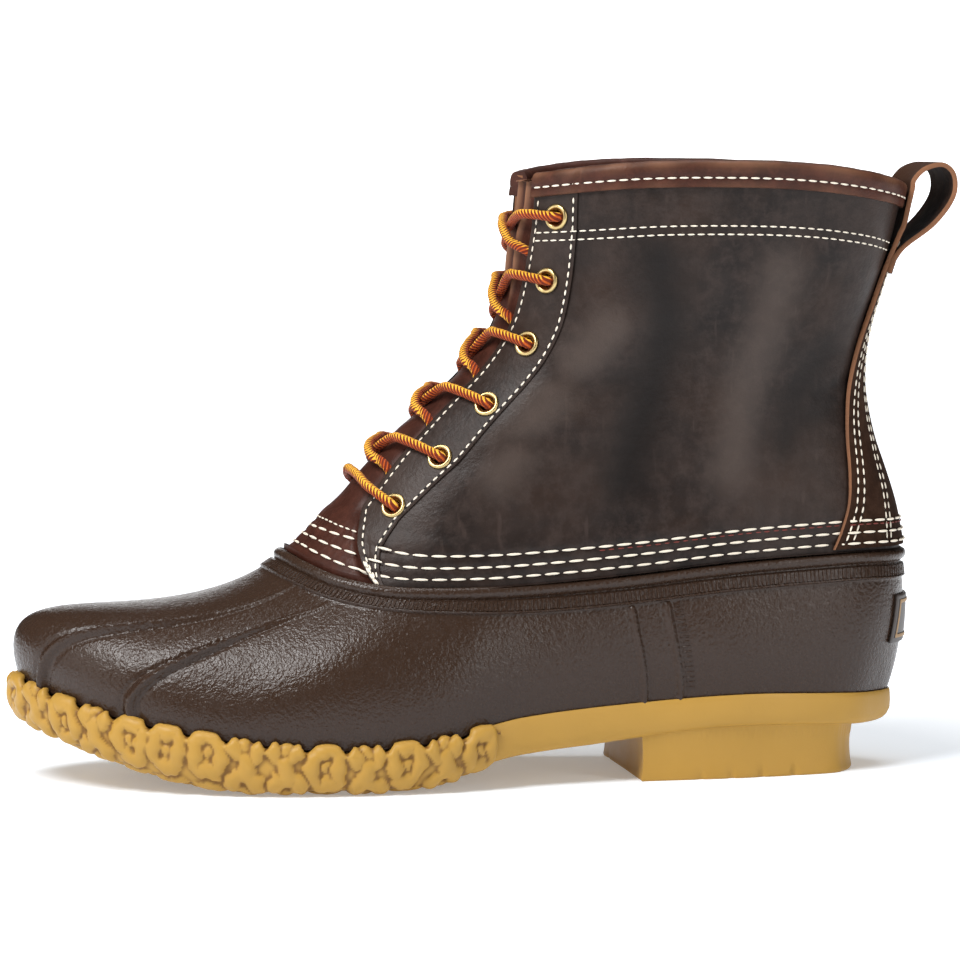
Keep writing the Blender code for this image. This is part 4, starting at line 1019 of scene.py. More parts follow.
def make_wedge():
    """Smooth arch and seat of the sole, from one end of the chain tread round the back."""
    overlap = 0.12
    outer, _ = even_sections(chain_end(-1) + overlap, 0.0, 1.6 * MM)
    inner, _ = even_sections(0.0, chain_end(1) - AROUND - overlap, 1.6 * MM)
    u = np.concatenate((outer, inner[1:])) % AROUND
    edge = feather(u)
    way = feather_way(u)
    rows = []
    for out, share in WEDGE_PROFILE:
        row = edge + way * out * MM
        base = floor_z(np.minimum(row[:, 0], edge[:, 0]))
        arch = np.clip((along(0.76) - edge[:, 0]) / (0.14 * LENGTH), 0.0, 1.0)
        row[:, 2] = base - share * (WEDGE_THICKNESS + 1.7 * MM * arch)
        rows.append(row)
    heel_round = np.clip((edge[:, 0] - along(0.93)) / (0.055 * LENGTH), 0.0, 1.0)
    for row, (_, share) in zip(rows, WEDGE_PROFILE):
        if share > 0.5:
            row -= way * (heel_round * (share - 0.5) ** 2 * 9.0 * MM)[:, None]
    last = rows[-1]
    middle_x = np.minimum(last[:, 0], along(0.9))
    for share in (0.5, 1.0):
        row = last.copy()
        row[:, 0] += (middle_x - last[:, 0]) * share
        row[:, 1] += (-1.5 * MM - last[:, 1]) * share
        row[:, 2] = floor_z(row[:, 0]) - WEDGE_THICKNESS
        rows.append(row)
    place_object("sole_wedge", skin(np.array(rows)), SOLE, ("outsole",))


def heel_outline(count):
    """Outline of the heel seen from above, from the breast's outer corner round the back."""
    outer = [(along(x), y * BALL_WIDTH, 0.0) for x, y, _ in HEEL]
    inner = [(along(x), y * BALL_WIDTH, 0.0) for x, _, y in HEEL]
    back = (along(HEEL[-1][0]) + 0.8 * MM, (outer[-1][1] + inner[-1][1]) / 2.0, 0.0)
    round_part = through(np.array(outer + [back] + inner[::-1]), count)
    first = round_part[0]
    last = round_part[-1]
    breast = [first + (last - first) * share for share in np.linspace(0.98, 0.02, 30)]
    return round_part, np.array(breast)


def make_heel():
    """Heel: hollowed back, faint ribs under the seat and small notches along the floor."""
    round_part, breast = heel_outline(260)
    outline = np.concatenate((round_part, breast))
    centre = np.array((along(0.81), np.mean(outline[:, 1]), 0.0))
    toward = unit(centre - outline)
    length = running(outline)
    is_round = np.arange(len(outline)) < len(round_part)
    rows = []
    for share in (1.02, 0.995, 0.97, 0.94, 0.9, 0.86, 0.82, 0.78, 0.75, 0.72, 0.6, 0.45, 0.3, 0.18,
                  0.1, 0.05, 0.02, 0.0):
        top = floor_z(outline[:, 0]) - WEDGE_THICKNESS
        row = outline.copy()
        waist = 0.9 * math.sin(math.pi * min(share, 1.0)) ** 0.8
        ribs = 0.0
        if 0.75 <= share <= 0.97:
            ribs = 0.16 * np.sin(length / (1.15 * MM) * math.tau) * is_round
        notch = 0.0
        if share <= 0.1:
            for place in (20.0, 31.0, 42.0, 54.0):
                for run in (length, 0.86 * length[-1] - length):
                    notch = notch + 0.9 * np.exp(-((run / MM - place) / 1.2) ** 2)
        foot_round = 0.5 * (1.0 - min(share / 0.05, 1.0)) ** 2
        pull = waist + foot_round + 0.3 + ribs + notch + 0.0 * length
        row += toward * (pull * MM)[:, None]
        row[:, 2] = top * share
        rows.append(row)
    base = rows[-1]
    for share in (0.12, 0.3, 0.5, 0.7, 0.9, 1.0):
        row = base + (centre - base) * share
        row[:, 2] = 0.9 * MM if share > 0.12 else 0.0
        rows.append(row)
    rows = np.array(rows)
    rows = np.concatenate((rows, rows[:, :1]), axis=1)
    place_object("heel", skin(rows, merge=True), SOLE, ("heel_block",), 50.0)


def make_insole():
    """Insole that lies on the sole inside the foot."""
    outer, _ = even_sections(0.0, TOE, 3.0 * MM)
    inner, _ = even_sections(AROUND, TOE, 3.0 * MM)
    count = min(len(outer), len(inner))
    sides = []
    for line in (outer, inner):
        u = np.interp(np.linspace(0.0, 1.0, count), np.linspace(0.0, 1.0, len(line)), line)
        sides.append(feather(u % AROUND) - feather_way(u) * (RUBBER_WALL + 1.0 * MM))
    rows = []
    for share, drop in ((0.0, 2.6), (0.0, 0.8), (0.012, 0.15), (0.04, 0.0), (0.2, 0.1),
                        (0.5, 0.3), (0.8, 0.1), (0.96, 0.0), (0.988, 0.15), (1.0, 0.8),
                        (1.0, 2.6)):
        row = sides[0] + (sides[1] - sides[0]) * share
        row[:, 2] = floor_z(row[:, 0]) + (3.5 - drop) * MM
        rows.append(row)
    place_object("insole_cloth", skin(np.array(rows)), LINING, ("insole",))


# Leather

def shares_down(*stretches):
    """Places from stretches of (end, count), the first starting at 0."""
    places = [0.0]
    for end, count in stretches:
        start = places[-1]
        places += [start + (end - start) * (n + 1) / count for n in range(count)]
    return np.array(places)


def leather_rows():
    """Height shares of the shaft's rows, close together over the seam band above the ledge."""
    return shares_down((0.13, 34), (0.9, 78), (1.0, 12))


# Soft folds of the shaft, in millimetres: points along and up, width, depth. A minus depth is
# a hollow.
FOLDS = (
    (((-12.0, 112.0), (2.0, 130.0), (22.0, 152.0), (34.0, 178.0)), 7.0, -0.55),
    (((6.0, 104.0), (24.0, 128.0), (44.0, 150.0)), 9.0, 0.7),
    (((48.0, 100.0), (56.0, 124.0), (62.0, 150.0), (58.0, 172.0)), 10.0, -0.9),
    (((84.0, 104.0), (88.0, 128.0), (96.0, 150.0), (100.0, 168.0)), 9.0, 0.6),
    (((104.0, 112.0), (108.0, 128.0), (118.0, 142.0)), 7.0, -0.7),
    (((-6.0, 104.0), (10.0, 112.0), (26.0, 114.0)), 4.0, -0.35),
    (((116.0, 126.0), (126.0, 131.0), (138.0, 131.0)), 3.5, -0.5),
    (((112.0, 119.0), (124.0, 123.0), (138.0, 122.0)), 3.0, -0.35),
    (((20.0, 138.0), (32.0, 132.0), (46.0, 133.0)), 4.5, -0.4),
)


def folds(spots):
    """Depth of the soft folds at points of the shaft."""
    x = spots[..., 0] / MM
    z = spots[..., 2] / MM
    outer = spots[..., 1] < 0.0
    depth = np.zeros(x.shape)
    for line, width, height in FOLDS:
        near = np.full(x.shape, 1e9)
        for (ax, az), (bx, bz) in zip(line, line[1:]):
            dx = bx - ax
            dz = bz - az
            shift = np.where(outer, 0.0, 4.0)
            t = np.clip(((x + shift - ax) * dx + (z - az) * dz) / (dx * dx + dz * dz), 0.0, 1.0)
            near = np.minimum(near, np.hypot(x + shift - ax - dx * t, z - az - dz * t))
        depth += height * np.exp(-(near / width) ** 2)
    return depth * MM


def fold_light_and_shade(spots):
    """Painted light and shade from the folds: lighter on their crests, partly also rubbing of the
    pull-up leather, and darker in their hollows.
    """
    return np.clip(folds(spots) / (0.9 * MM), -1.0, 1.0)


# Kinds of stitch: the piece that they belong to, then pitch, length, thickness and the size of the
# dark hole dot, painted shade, in millimetres.
STITCHES = {
    "heavy": ("seam_heavy", 6.1, 5.2, 0.95, 0.0),
    "tack": ("seam_heavy", 2.2, 2.4, 0.75, 0.0),
    "red": ("seam_red", 3.1, 2.3, 0.5, 0.0),
    "collar": ("seam_fine", 3.3, 2.5, 0.62, 0.5),
    "facing": ("seam_fine", 3.0, 2.0, 0.66, 0.85),
    "band": ("seam_fine", 3.9, 3.1, 0.72, 0.4),
    "strap": ("seam_fine", 3.2, 2.3, 0.66, 0.5),
    "vamp": ("seam_fine", 3.0, 2.3, 0.6, 0.0),
}

# Heavy rows above the ledge, in millimetres
SEAM_ROWS = (10.6, 6.8, 3.2)
SEAM_PITCH = STITCHES["heavy"][1] * MM


def seam_swell(lift):
    """How far the seamed band under a lift above the ledge stands out, all in millimetres."""
    return 0.5 / (1.0 + np.exp((lift - 15.6) / 0.8))


def seam_relief(u, height, where):
    """Leather pulled in along the three heavy rows above the ledge, and at each stitch's ends."""
    lift = height * (COLLAR_HEIGHT - rim(u)[..., 2]) / MM
    puff = np.zeros(np.shape(lift))
    for row in SEAM_ROWS:
        puff = puff - 0.34 * np.exp(-((lift - row) / 0.7) ** 2)
    phase = (where / SEAM_PITCH) % 1.0
    ends = np.exp(-(np.minimum(phase, 1.0 - phase) / 0.11) ** 2)
    in_band = np.clip((lift - 2.6) / 0.8, 0.0, 1.0) * np.clip((12.8 - lift) / 0.8, 0.0, 1.0)
    return (puff - 0.22 * ends * in_band + seam_swell(lift)) * MM


def make_quarters():
    """Leather of the shaft from the outer throat edge round the back to the inner one."""
    heights = leather_rows()
    half = 205
    share = np.linspace(0.0, 1.0, half + 1)
    columns_u = []
    columns_where = []
    for side in (-1, 1):
        grid_h, grid_s = np.meshgrid(heights, share, indexing="ij")
        u = ring_u(grid_h, grid_s, side)
        where = ring_length(0.05, side) * (1.0 - grid_s)
        if side > 0:
            u = u[:, ::-1]
            where = -where[:, ::-1]
        columns_u.append(u)
        columns_where.append(where)
    u = np.concatenate((columns_u[0], columns_u[1][:, 1:]), axis=1)
    where = np.concatenate((columns_where[0], columns_where[1][:, 1:]), axis=1)
    h = np.broadcast_to(heights[:, None], u.shape)
    face = shaft(u, h)
    proud = folds(face) + seam_relief(u, h, where)
    outside = shaft(u, h, proud)
    outside[0, :, 2] = rim(u[0])[:, 2] + LEDGE_GAP
    # The colour carries the folds' painted light and shade.
    bm = skin(outside, wear_and_shading=fold_light_and_shade(face))
    punch_eyelets(bm)
    turn_edge(bm, LEATHER_WALL, material_number=1)
    place_object("quarters_leather", bm, (DARK_LEATHER, RAW_EDGE), ("quarters",))

    fewer = heights[::3]
    u = u[::3, ::4]
    h = np.broadcast_to(fewer[:, None], u.shape)
    inside = shaft(u, h, -LEATHER_WALL)
    inside[0, :, 2] = rim(u[0])[:, 2] + LEDGE_GAP
    bm = skin(inside)
    punch_eyelets(bm, 4.1 * MM)
    place_object("quarters_inside", bm, FLESH_SIDE, ())


def eyelet_frame(side, height, setback):
    """Middle of an eyelet on the facing's face, and its matrix with Z out of the leather."""
    height = np.array((height,))
    u = step_along(throat_u(height, side), height, side * setback * BALL_WIDTH)
    spot = shaft(u, height, FACING_STEP)[0]
    out = Vector(unit(shaft(u, height, FACING_STEP + 5.0 * MM)[0] - spot))
    turn = out.to_track_quat("Z", "Y").to_matrix().to_4x4()
    return Matrix.Translation(Vector(spot)) @ turn


EYELET_FRAMES = [(side, eyelet_frame(side, height, setback))
                 for side in (-1, 1) for height, setback in EYELETS]


def punch_eyelets(bm, radius=3.65 * MM):
    """Take away the faces that lie inside an eyelet's hole."""
    middles = [matrix.translation for _, matrix in EYELET_FRAMES]
    gone = [face for face in bm.faces
            if any((face.calc_center_median() - middle).length < radius for middle in middles)]
    bmesh.ops.delete(bm, geom=gone, context="FACES")


def facing_width(height):
    """Width of the facing at a height share."""
    return straight_table(THROAT, height, 2) * BALL_WIDTH


def make_facings():
    """Facing on each side of the throat, a second layer that carries the eyelets."""
    for side, name in ((-1, "facing_outer"), (1, "facing_inner")):
        heights = shares_down((0.12, 26), (1.0, 100))
        shares = shares_down((0.03, 1), (0.97, 26), (1.0, 1))
        grid_h, grid_s = np.meshgrid(heights, shares, indexing="ij")
        edge = throat_u(heights, side)[:, None]
        reach = facing_width(heights)[:, None] * grid_s
        u = step_along(edge + 0.0 * grid_s, grid_h, side * reach)
        proud = np.full(u.shape, FACING_STEP)
        proud[:, 0] -= 0.25 * MM
        proud[:, -1] -= 0.25 * MM
        length = ring_length(grid_h, side)
        where = (length - reach) * (1.0 if side < 0 else -1.0)
        face = shaft(u, grid_h)
        proud = proud + folds(face) * 0.5 + seam_relief(u, grid_h, where)
        spots = shaft(u, grid_h, proud)
        spots[0, :, 2] = rim(u[0])[:, 2] + LEDGE_GAP
        # Half the folds' painted light and shade, plus a lighter tone all over, partly rubbing and
        # partly painted highlight where the facing turns to the light.
        bm = skin(spots, wear_and_shading=np.clip(fold_light_and_shade(face) * 0.5 + 0.22, -1.0, 1.0))
        punch_eyelets(bm)
        turn_edge(bm, FACING_STEP + 0.4 * MM)
        place_object(name, bm, DARK_LEATHER, ())


def over_throat(height, across, offset):
    """Point over the throat: across is -1 at the outer edge and +1 at the inner edge."""
    low = throat_u(height, -1)
    high = throat_u(height, 1)
    return shaft(low + (high - low) * (across + 1.0) / 2.0, height, offset)


def make_tongue():
    """Vamp and tongue: one reddish leather that goes under the throat's edges."""
    heights = shares_down((0.13, 30), (0.992, 84))
    across = np.linspace(-1.0, 1.0, 101)
    grid_h, grid_a = np.meshgrid(heights, across, indexing="ij")
    low = throat_u(heights, -1)
    high = throat_u(heights, 1)
    flap = np.interp(heights, (0.0, 0.13, 0.19), (1.5, 2.5, 11.0)) * MM
    start = step_along(low, heights, -flap)
    end = step_along(high, heights, flap)
    u = start[:, None] + (end - start)[:, None] * (grid_a + 1.0) / 2.0
    edge_low = low[:, None]
    edge_high = high[:, None]
    mid = (edge_low + edge_high) / 2.0
    half = (edge_high - edge_low) / 2.0
    place = np.abs(u - mid) / half
    tucked = np.clip((place - 0.93) / 0.07, 0.0, 1.0)
    below_band = np.clip((grid_h - 0.855) / 0.07, 0.0, 1.0) * 1.6 * MM
    under = -LEATHER_WALL - 0.3 * MM - below_band
    crown = np.clip(1.0 - place * place, 0.0, 1.0) * 1.6 * MM
    stage = np.clip((grid_h - 0.10) / 0.07, 0.0, 1.0)
    stage = stage * stage * (3.0 - 2.0 * stage)
    flush = -0.35 * MM * (1.0 - tucked) + under * tucked
    room = np.clip((place - 0.7) / 0.3, 0.0, 1.0)
    deep = crown - LEATHER_WALL - 0.8 * MM - below_band - room * room * 2.2 * MM
    proud = flush * (1.0 - stage) + deep * stage
    creases = (0.35 * np.sin(grid_h * 62.0 + 2.0 * np.sin(grid_a * 2.6))
               * np.exp(-((grid_h - 0.4) / 0.16) ** 2) * np.exp(-(place / 0.8) ** 2))
    where = (u - TOE) * 30.0 * MM
    relief = seam_relief(u, grid_h, where) * (1.0 - stage)
    signed = (u - mid) / half
    upper = np.clip((grid_h - 0.64) / 0.14, 0.0, 1.0)
    pleat = np.zeros(u.shape)
    for place_low, place_high in ((-0.42, -0.38), (0.06, 0.02)):
        crest = place_low + (place_high - place_low) * upper
        pleat += np.exp(-((signed - crest) / 0.075) ** 2)
    # Pleat crests lighter: partly rubbing, partly painted highlight.
    rubbed_and_lit = np.clip(pleat * upper * 1.2, 0.0, 1.0)
    relief = relief + pleat * upper * 1.5 * MM
    spots = shaft(u, grid_h, proud + creases * MM + relief)
    spots[0, :, 2] = rim(u[0])[:, 2] + LEDGE_GAP
    bm = skin(spots, wear_and_shading=rubbed_and_lit)
    turn_edge(bm, 1.8 * MM, material_number=1)
    place_object("vamp_and_tongue", bm, (RED_LEATHER, RAW_EDGE), ("tongue",))
    inside = shaft(u[::3, ::3], grid_h[::3, ::3], (proud + creases * MM)[::3, ::3] - 1.8 * MM)
    place_object("tongue_inside", skin(inside), FLESH_SIDE, ())


# Section of the collar band: up from the collar and out of the leather, in millimetres
BINDING_PROFILE = ((-7.0, 0.35), (-7.15, 1.2), (-6.9, 1.55), (-5.2, 1.5), (-4.3, 1.42),
                   (-3.9, 1.25), (-3.5, 1.42), (-2.2, 1.55), (-1.0, 1.5), (-0.1, 1.3),
                   (0.7, 0.85), (1.2, 0.1), (1.45, -0.9), (1.3, -2.0), (0.7, -2.9),
                   (-0.2, -3.45), (-1.6, -3.6), (-5.0, -3.55), (-6.9, -3.5), (-7.1, -2.6))


def make_binding():
    """Reddish band folded over the collar's edge."""
    share = np.linspace(0.0, 1.0, 150)
    loops = []
    for side in (-1, 1):
        width = facing_width(1.0)
        for s in share if side < 0 else share[::-1][1:]:
            u = ring_u(np.array((1.0,)), np.array((s,)), side)
            reach = s * float(ring_length(1.0, side))
            on = 1.0 - min(max((reach - width) / (0.8 * MM), 0.0), 1.0)
            loops.append((u[0], on * FACING_STEP, side))
    u = np.array([u for u, _, _ in loops])
    lift = np.array([step for _, step, _ in loops])
    rise = COLLAR_HEIGHT - rim(u)[:, 2]
    rows = []
    for up, out in BINDING_PROFILE + BINDING_PROFILE[:1]:
        proud = out * MM + lift * (out > -0.5)
        soft = 0.05 * np.sin(u * 7.0) + 0.03 * np.sin(u * 17.0 + 1.0)
        height = 1.0 + (up + soft * (up > -6.0)) * MM / rise
        rows.append(shaft(u, height, proud))
    # Lighter on the band's rounded edges, partly rubbing and partly painted highlight; the -0.6 row
    # is painted shade in its groove.
    rubbed_and_lit = (0, 0.5, 0.3, 0.15, 0, -0.6, 0, 0.15, 0.25, 0.5, 0.65, 0.4) + (0,) * 9
    wear_and_shading = np.outer(rubbed_and_lit, 0.7 + 0.3 * np.sin(u * 5.0))
    bm = skin(np.array(rows), merge=True, wear_and_shading=wear_and_shading)
    bmesh.ops.holes_fill(bm, edges=[e for e in bm.edges if e.is_boundary], sides=0)
    place_object("collar_band", bm, RED_LEATHER, ("collar_binding",), 50.0)


# Pull loop: along and up in millimetres from the strap's top
LOOP_PATH = ((0.4, 3.4), (3.8, 7.0), (9.6, 8.3), (13.2, 4.6), (12.8, -2.6), (6.6, -11.2),
             (-2.2, -18.2))


STRAP_HEIGHTS = (0.012, 0.06, 0.13, 0.21, 0.31, 0.41, 0.49, 0.58, 0.67, 0.77, 0.87, 0.90, 0.955,
                 1.0)
COLLAR_STEP = 1.75 * MM


def strap_reach(height):
    """Half width of the back strap at a height share."""
    return straight_table(STRAP, height, 1) * BALL_WIDTH


def strap_lift(height):
    """How far the strap lies off the leather, more where it passes over the collar band."""
    return STRAP_GAP + np.clip((height - 0.82) / 0.08, 0.0, 1.0) * COLLAR_STEP


def strap_row(height, lift):
    """Middle line of the strap's section at a height share, at a lift off the leather."""
    across = np.linspace(-1.0, 1.0, 25)
    h = np.full(across.shape, height)
    return shaft(across * step_along(0.0 * across, h, strap_reach(height)), h, lift)


def strap_rows():
    """Middle lines of the strap up the back, round the loop and back down on the strap."""
    rows = [strap_row(height, strap_lift(height) + STRAP_WALL / 2.0) for height in STRAP_HEIGHTS]
    last = rows[-1]
    top = last[len(last) // 2]
    for (x, z), share in zip(LOOP_PATH, (0.9, 0.7, 0.5, 0.4, 0.4, 0.5, 0.8)):
        row = last.copy()
        row[:, 0] = top[0] + x * MM + (last[:, 0] - top[0]) * share
        row[:, 2] = top[2] + z * MM
        rows.append(row)
    rows += [strap_row(height, STRAP_GAP + STRAP_WALL * 1.5 + lift * MM)
             for height, lift in ((0.815, 0.35), (0.795, 0.1), (0.77, 0.1))]
    return through(np.array(rows), 250)


def make_strap():
    """Back strap and pull loop: one strip, dark outside, raw along its edges and inside."""
    middle = strap_rows()
    side = unit(np.gradient(middle, axis=1))
    out = unit(np.cross(side, unit(np.gradient(middle, axis=0))))
    if np.mean(out[:60, 12, 0]) < 0.0:
        out = -out
    half = STRAP_WALL / 2.0
    front = middle + out * half
    back = middle[:, ::-1] - out[:, ::-1] * half
    far = middle[:, -1:] + side[:, -1:] * half * 0.25
    near = middle[:, :1] - side[:, :1] * half * 0.25
    far_out = out[:, -1:] * half * 0.6
    near_out = out[:, :1] * half * 0.6
    ring = np.concatenate((front, far + far_out, far - far_out, back, near - near_out,
                           near + near_out, front[:, :1]), axis=1)
    bm = skin(ring, merge=True)
    total = ring.shape[1] - 1
    count = middle.shape[1]

    def choose(a, _):
        column = a * total
        if column < count - 1:
            return 0
        return 2 if count + 2 < column < 2 * count + 1 else 1

    paint(bm, choose)
    bmesh.ops.holes_fill(bm, edges=[e for e in bm.edges if e.is_boundary], sides=0)
    place_object("strap_and_loop", bm, (STRAP_LEATHER, RAW_EDGE, FLESH_SIDE), ("back_strap",),
                 50.0)


PATCH_WIDTH = 30.0
PATCH_HEIGHT = 16.5


def patch_border(across, down):
    """Distance in millimetres from the patch's nearest edge."""
    return np.minimum(np.minimum(across, 1.0 - across) * PATCH_WIDTH,
                      np.minimum(down, 1.0 - down) * PATCH_HEIGHT)


def make_patch():
    """Plain rubber patch with a thin raised frame on the back of the foot."""
    half = PATCH_WIDTH / 2.0 * MM / float(section_width(0.0))
    across = shares_down((0.03, 2), (0.055, 1), (0.06, 1), (0.10, 2), (0.105, 1), (0.895, 14),
                         (0.90, 1), (0.94, 2), (0.945, 1), (0.97, 1), (1.0, 2))
    down = shares_down((0.05, 2), (0.10, 1), (0.11, 1), (0.18, 2), (0.19, 1), (0.81, 8),
                       (0.82, 1), (0.89, 2), (0.90, 1), (0.95, 1), (1.0, 2))
    grid_d, grid_a = np.meshgrid(down, across, indexing="ij")
    proud = np.interp(patch_border(grid_a, grid_d), (0.0, 0.5, 1.7, 1.85, 2.9, 3.1),
                      (0.55, 0.85, 0.85, 1.2, 1.2, 0.75))
    bm = skin(wall((grid_a * 2.0 - 1.0) * half, (15.0 + PATCH_HEIGHT * grid_d) * MM,
                   (0.3 + proud) * MM))

    def choose(a, b):
        return 1 if 1.75 < patch_border(a, b) < 3.0 else 0

    layer = bm.loops.layers.uv.active
    for face in bm.faces:
        for loop in face.loops:
            uv = loop[layer].uv
            uv.x = np.interp(uv.x, np.linspace(0.0, 1.0, len(across)), across)
            uv.y = np.interp(uv.y, np.linspace(0.0, 1.0, len(down)), down)
    paint(bm, choose)
    turn_edge(bm, 1.6 * MM)
    place_object("plain_patch", bm, (PATCH, PATCH_FRAME), ("heel_patch",), 30.0)


# Eyelets and lace

# Rolled flange and curled back of an eyelet: radius and height over the facing, in millimetres
EYELET_PROFILE = ((2.10, -3.2), (2.10, -1.2), (2.18, -0.4), (2.40, 0.15), (3.00, 0.6), (3.43, 0.85),
                  (3.87, 0.8), (4.20, 0.5), (4.34, 0.1), (4.31, -0.1), (3.27, -0.1))
EYELET_BACK = ((2.1, -3.0), (2.3, -3.3), (2.9, -3.5), (3.5, -3.35), (3.6, -3.0), (3.2, -2.8))


def make_eyelets():
    """Rolled brass eyelets through the facings, with a curled back."""
    bm = bmesh.new()
    for _, matrix in EYELET_FRAMES:
        for profile in (EYELET_PROFILE, EYELET_BACK):
            verts = [bm.verts.new((r * MM, 0.0, z * MM)) for r, z in profile]
            edges = [bm.edges.new(pair) for pair in zip(verts, verts[1:])]
            bmesh.ops.spin(bm, geom=verts + edges, cent=(0.0, 0.0, 0.0), axis=(0.0, 0.0, 1.0),
                           dvec=(0.0, 0.0, 0.0), angle=math.tau, steps=32, use_merge=True,
                           use_duplicate=False)
            whole = set(verts)
            waiting = list(verts)
            while waiting:
                v = waiting.pop()
                fresh = {e.other_vert(v) for e in v.link_edges} - whole
                whole |= fresh
                waiting += fresh
            bmesh.ops.transform(bm, matrix=matrix, verts=list(whole))
    names = tuple(f"eyelet_{side}_{n}" for side in ("outer", "inner") for n in range(1, 7))
    place_object("brass_eyelets", bm, BRASS, names, 60.0)


# Where each strand comes out from under the throat edge, as a share of the way up from the
# lower eyelet, and where the two strands cross; from the top down.
STRAND_FEET = (0.40, 0.28, 0.36, 0.46, 0.50)
CROSSINGS = (0.86, 0.70, 0.70, 0.78, 0.78)


def frame_point(side, n, x, y, z):
    """Point in millimetres in the frame of eyelet n (0 is the top one) of a side."""
    matrix = EYELET_FRAMES[n if side < 0 else n + 6][1]
    return np.array(matrix @ Vector((x * MM, y * MM, z * MM)))


def over_spot(height, across, proud):
    """One point over the throat, with proud in millimetres."""
    return over_throat(np.array((height,)), np.array((across,)), np.array((proud * MM,)))[0]


def lace_path(side):
    """Path of one end of the lace, from the bottom bar up to the top eyelet."""
    low = EYELETS[5][0]
    spots = [over_spot(low + 0.035, 0.0, 2.6), over_spot(low + 0.030, side * 0.5, 2.6),
             over_spot(low + 0.016, side * 0.98, 3.4)]
    spots += [frame_point(side, 5, 0.0, 0.0, z) for z in (1.5, -2.0, -4.2)]
    for n in range(4, -1, -1):
        low = EYELETS[n + 1][0]
        high = EYELETS[n][0]
        rise = high - low
        foot = low + STRAND_FEET[n] * rise
        middle = low + CROSSINGS[n] * rise
        spots.append(over_spot((low + foot) / 2.0, side * 1.12, -5.0))
        spots.append(over_spot(foot, side * 1.0, -2.4))
        if side < 0:
            spots.append(over_spot(foot + 0.12 * rise, -0.78, 0.9))
            spots.append(over_spot((foot + middle) / 2.0, -0.38, 2.3))
            spots.append(over_spot(middle, 0.0, 2.7))
            spots.append(over_spot(high - 0.05 * rise, 0.55, 1.9))
        else:
            spots.append(over_spot(foot + 0.14 * rise, 0.66, 0.4))
            spots.append(over_spot(middle, 0.0, 0.1))
            spots.append(over_spot(high + 0.04 * rise, -0.52, 1.9))
        side = -side
        spots.append(over_spot(high + (0.07 if side < 0 else -0.02) * rise, side * 0.98, 3.1))
        spots += [frame_point(side, n, 0.0, 0.0, z) for z in (1.5, -2.0, -4.2)]
    spots.append(frame_point(side, 0, 0.0, -4.0, -6.5))
    return np.array(spots)


def tube(path, radius, sides, spacing):
    """Grid of points on a round cord along a path, first column uppermost, and its length."""
    line = through(path, int(running(path)[-1] * 1.08 / spacing))
    ways = unit(np.gradient(line, axis=0))
    upward = np.array((-0.50, 0.30, 0.90))
    top = unit(upward - ways[0] * np.dot(upward, ways[0]))
    run = running(line)
    rings = []
    angles = np.linspace(0.0, math.tau, sides + 1)
    for spot, way, at in zip(line, ways, run):
        top = unit(top - way * np.dot(top, way))
        level = upward - way * np.dot(upward, way)
        top = unit(top + level * 0.35)
        side = np.cross(way, top)
        weave = radius(angles, at)
        rings.append(spot + (np.cos(angles) * weave)[:, None] * top
                     + (np.sin(angles) * weave)[:, None] * side)
    return np.array(rings), run[-1]


def braid(angles, run):
    """Radius of the braided lace round one ring."""
    first = np.sin(4.0 * angles + run / (1.05 * MM))
    second = np.sin(4.0 * angles - run / (1.05 * MM))
    return LACE_RADIUS * (0.96 + 0.06 * np.maximum(first, second))


def make_lace():
    """Two halves of the braided lace, from the bar up to the top eyelets."""
    names = {-1: ("lace_bar", "lace_cross_1", "lace_cross_2", "lace_cross_3", "lace_cross_4",
                  "lace_cross_5"), 1: ()}
    for side, name in ((-1, "lace_left_end"), (1, "lace_right_end")):
        rings, length = tube(lace_path(side), braid, 20, 0.45 * MM)
        bm = skin(rings)
        layer = bm.loops.layers.uv.active
        for face in bm.faces:
            for loop in face.loops:
                loop[layer].uv.y *= length / MM
        bmesh.ops.remove_doubles(bm, verts=bm.verts, dist=0.002 * MM)
        place_object(name, bm, LACE, names[side], 180.0)


# Stitches

# The stitch holes are dark dots of painted shade, not real holes.
SEAM_MATERIALS = {"seam_heavy": THREAD, "seam_fine": THREAD, "seam_red": RED_THREAD,
                  "stitch_hole_shades": HOLE_SHADE}
SEAM_MESHES = {name: bmesh.new() for name in SEAM_MATERIALS}


def add_ball(bm, spot, turn, size, rings):
    """Stretched ball at a spot."""
    matrix = Matrix.Translation(Vector(spot)) @ turn @ Matrix.Diagonal((*size, 1.0))
    bmesh.ops.create_uvsphere(bm, u_segments=6, v_segments=rings, radius=1.0, matrix=matrix)


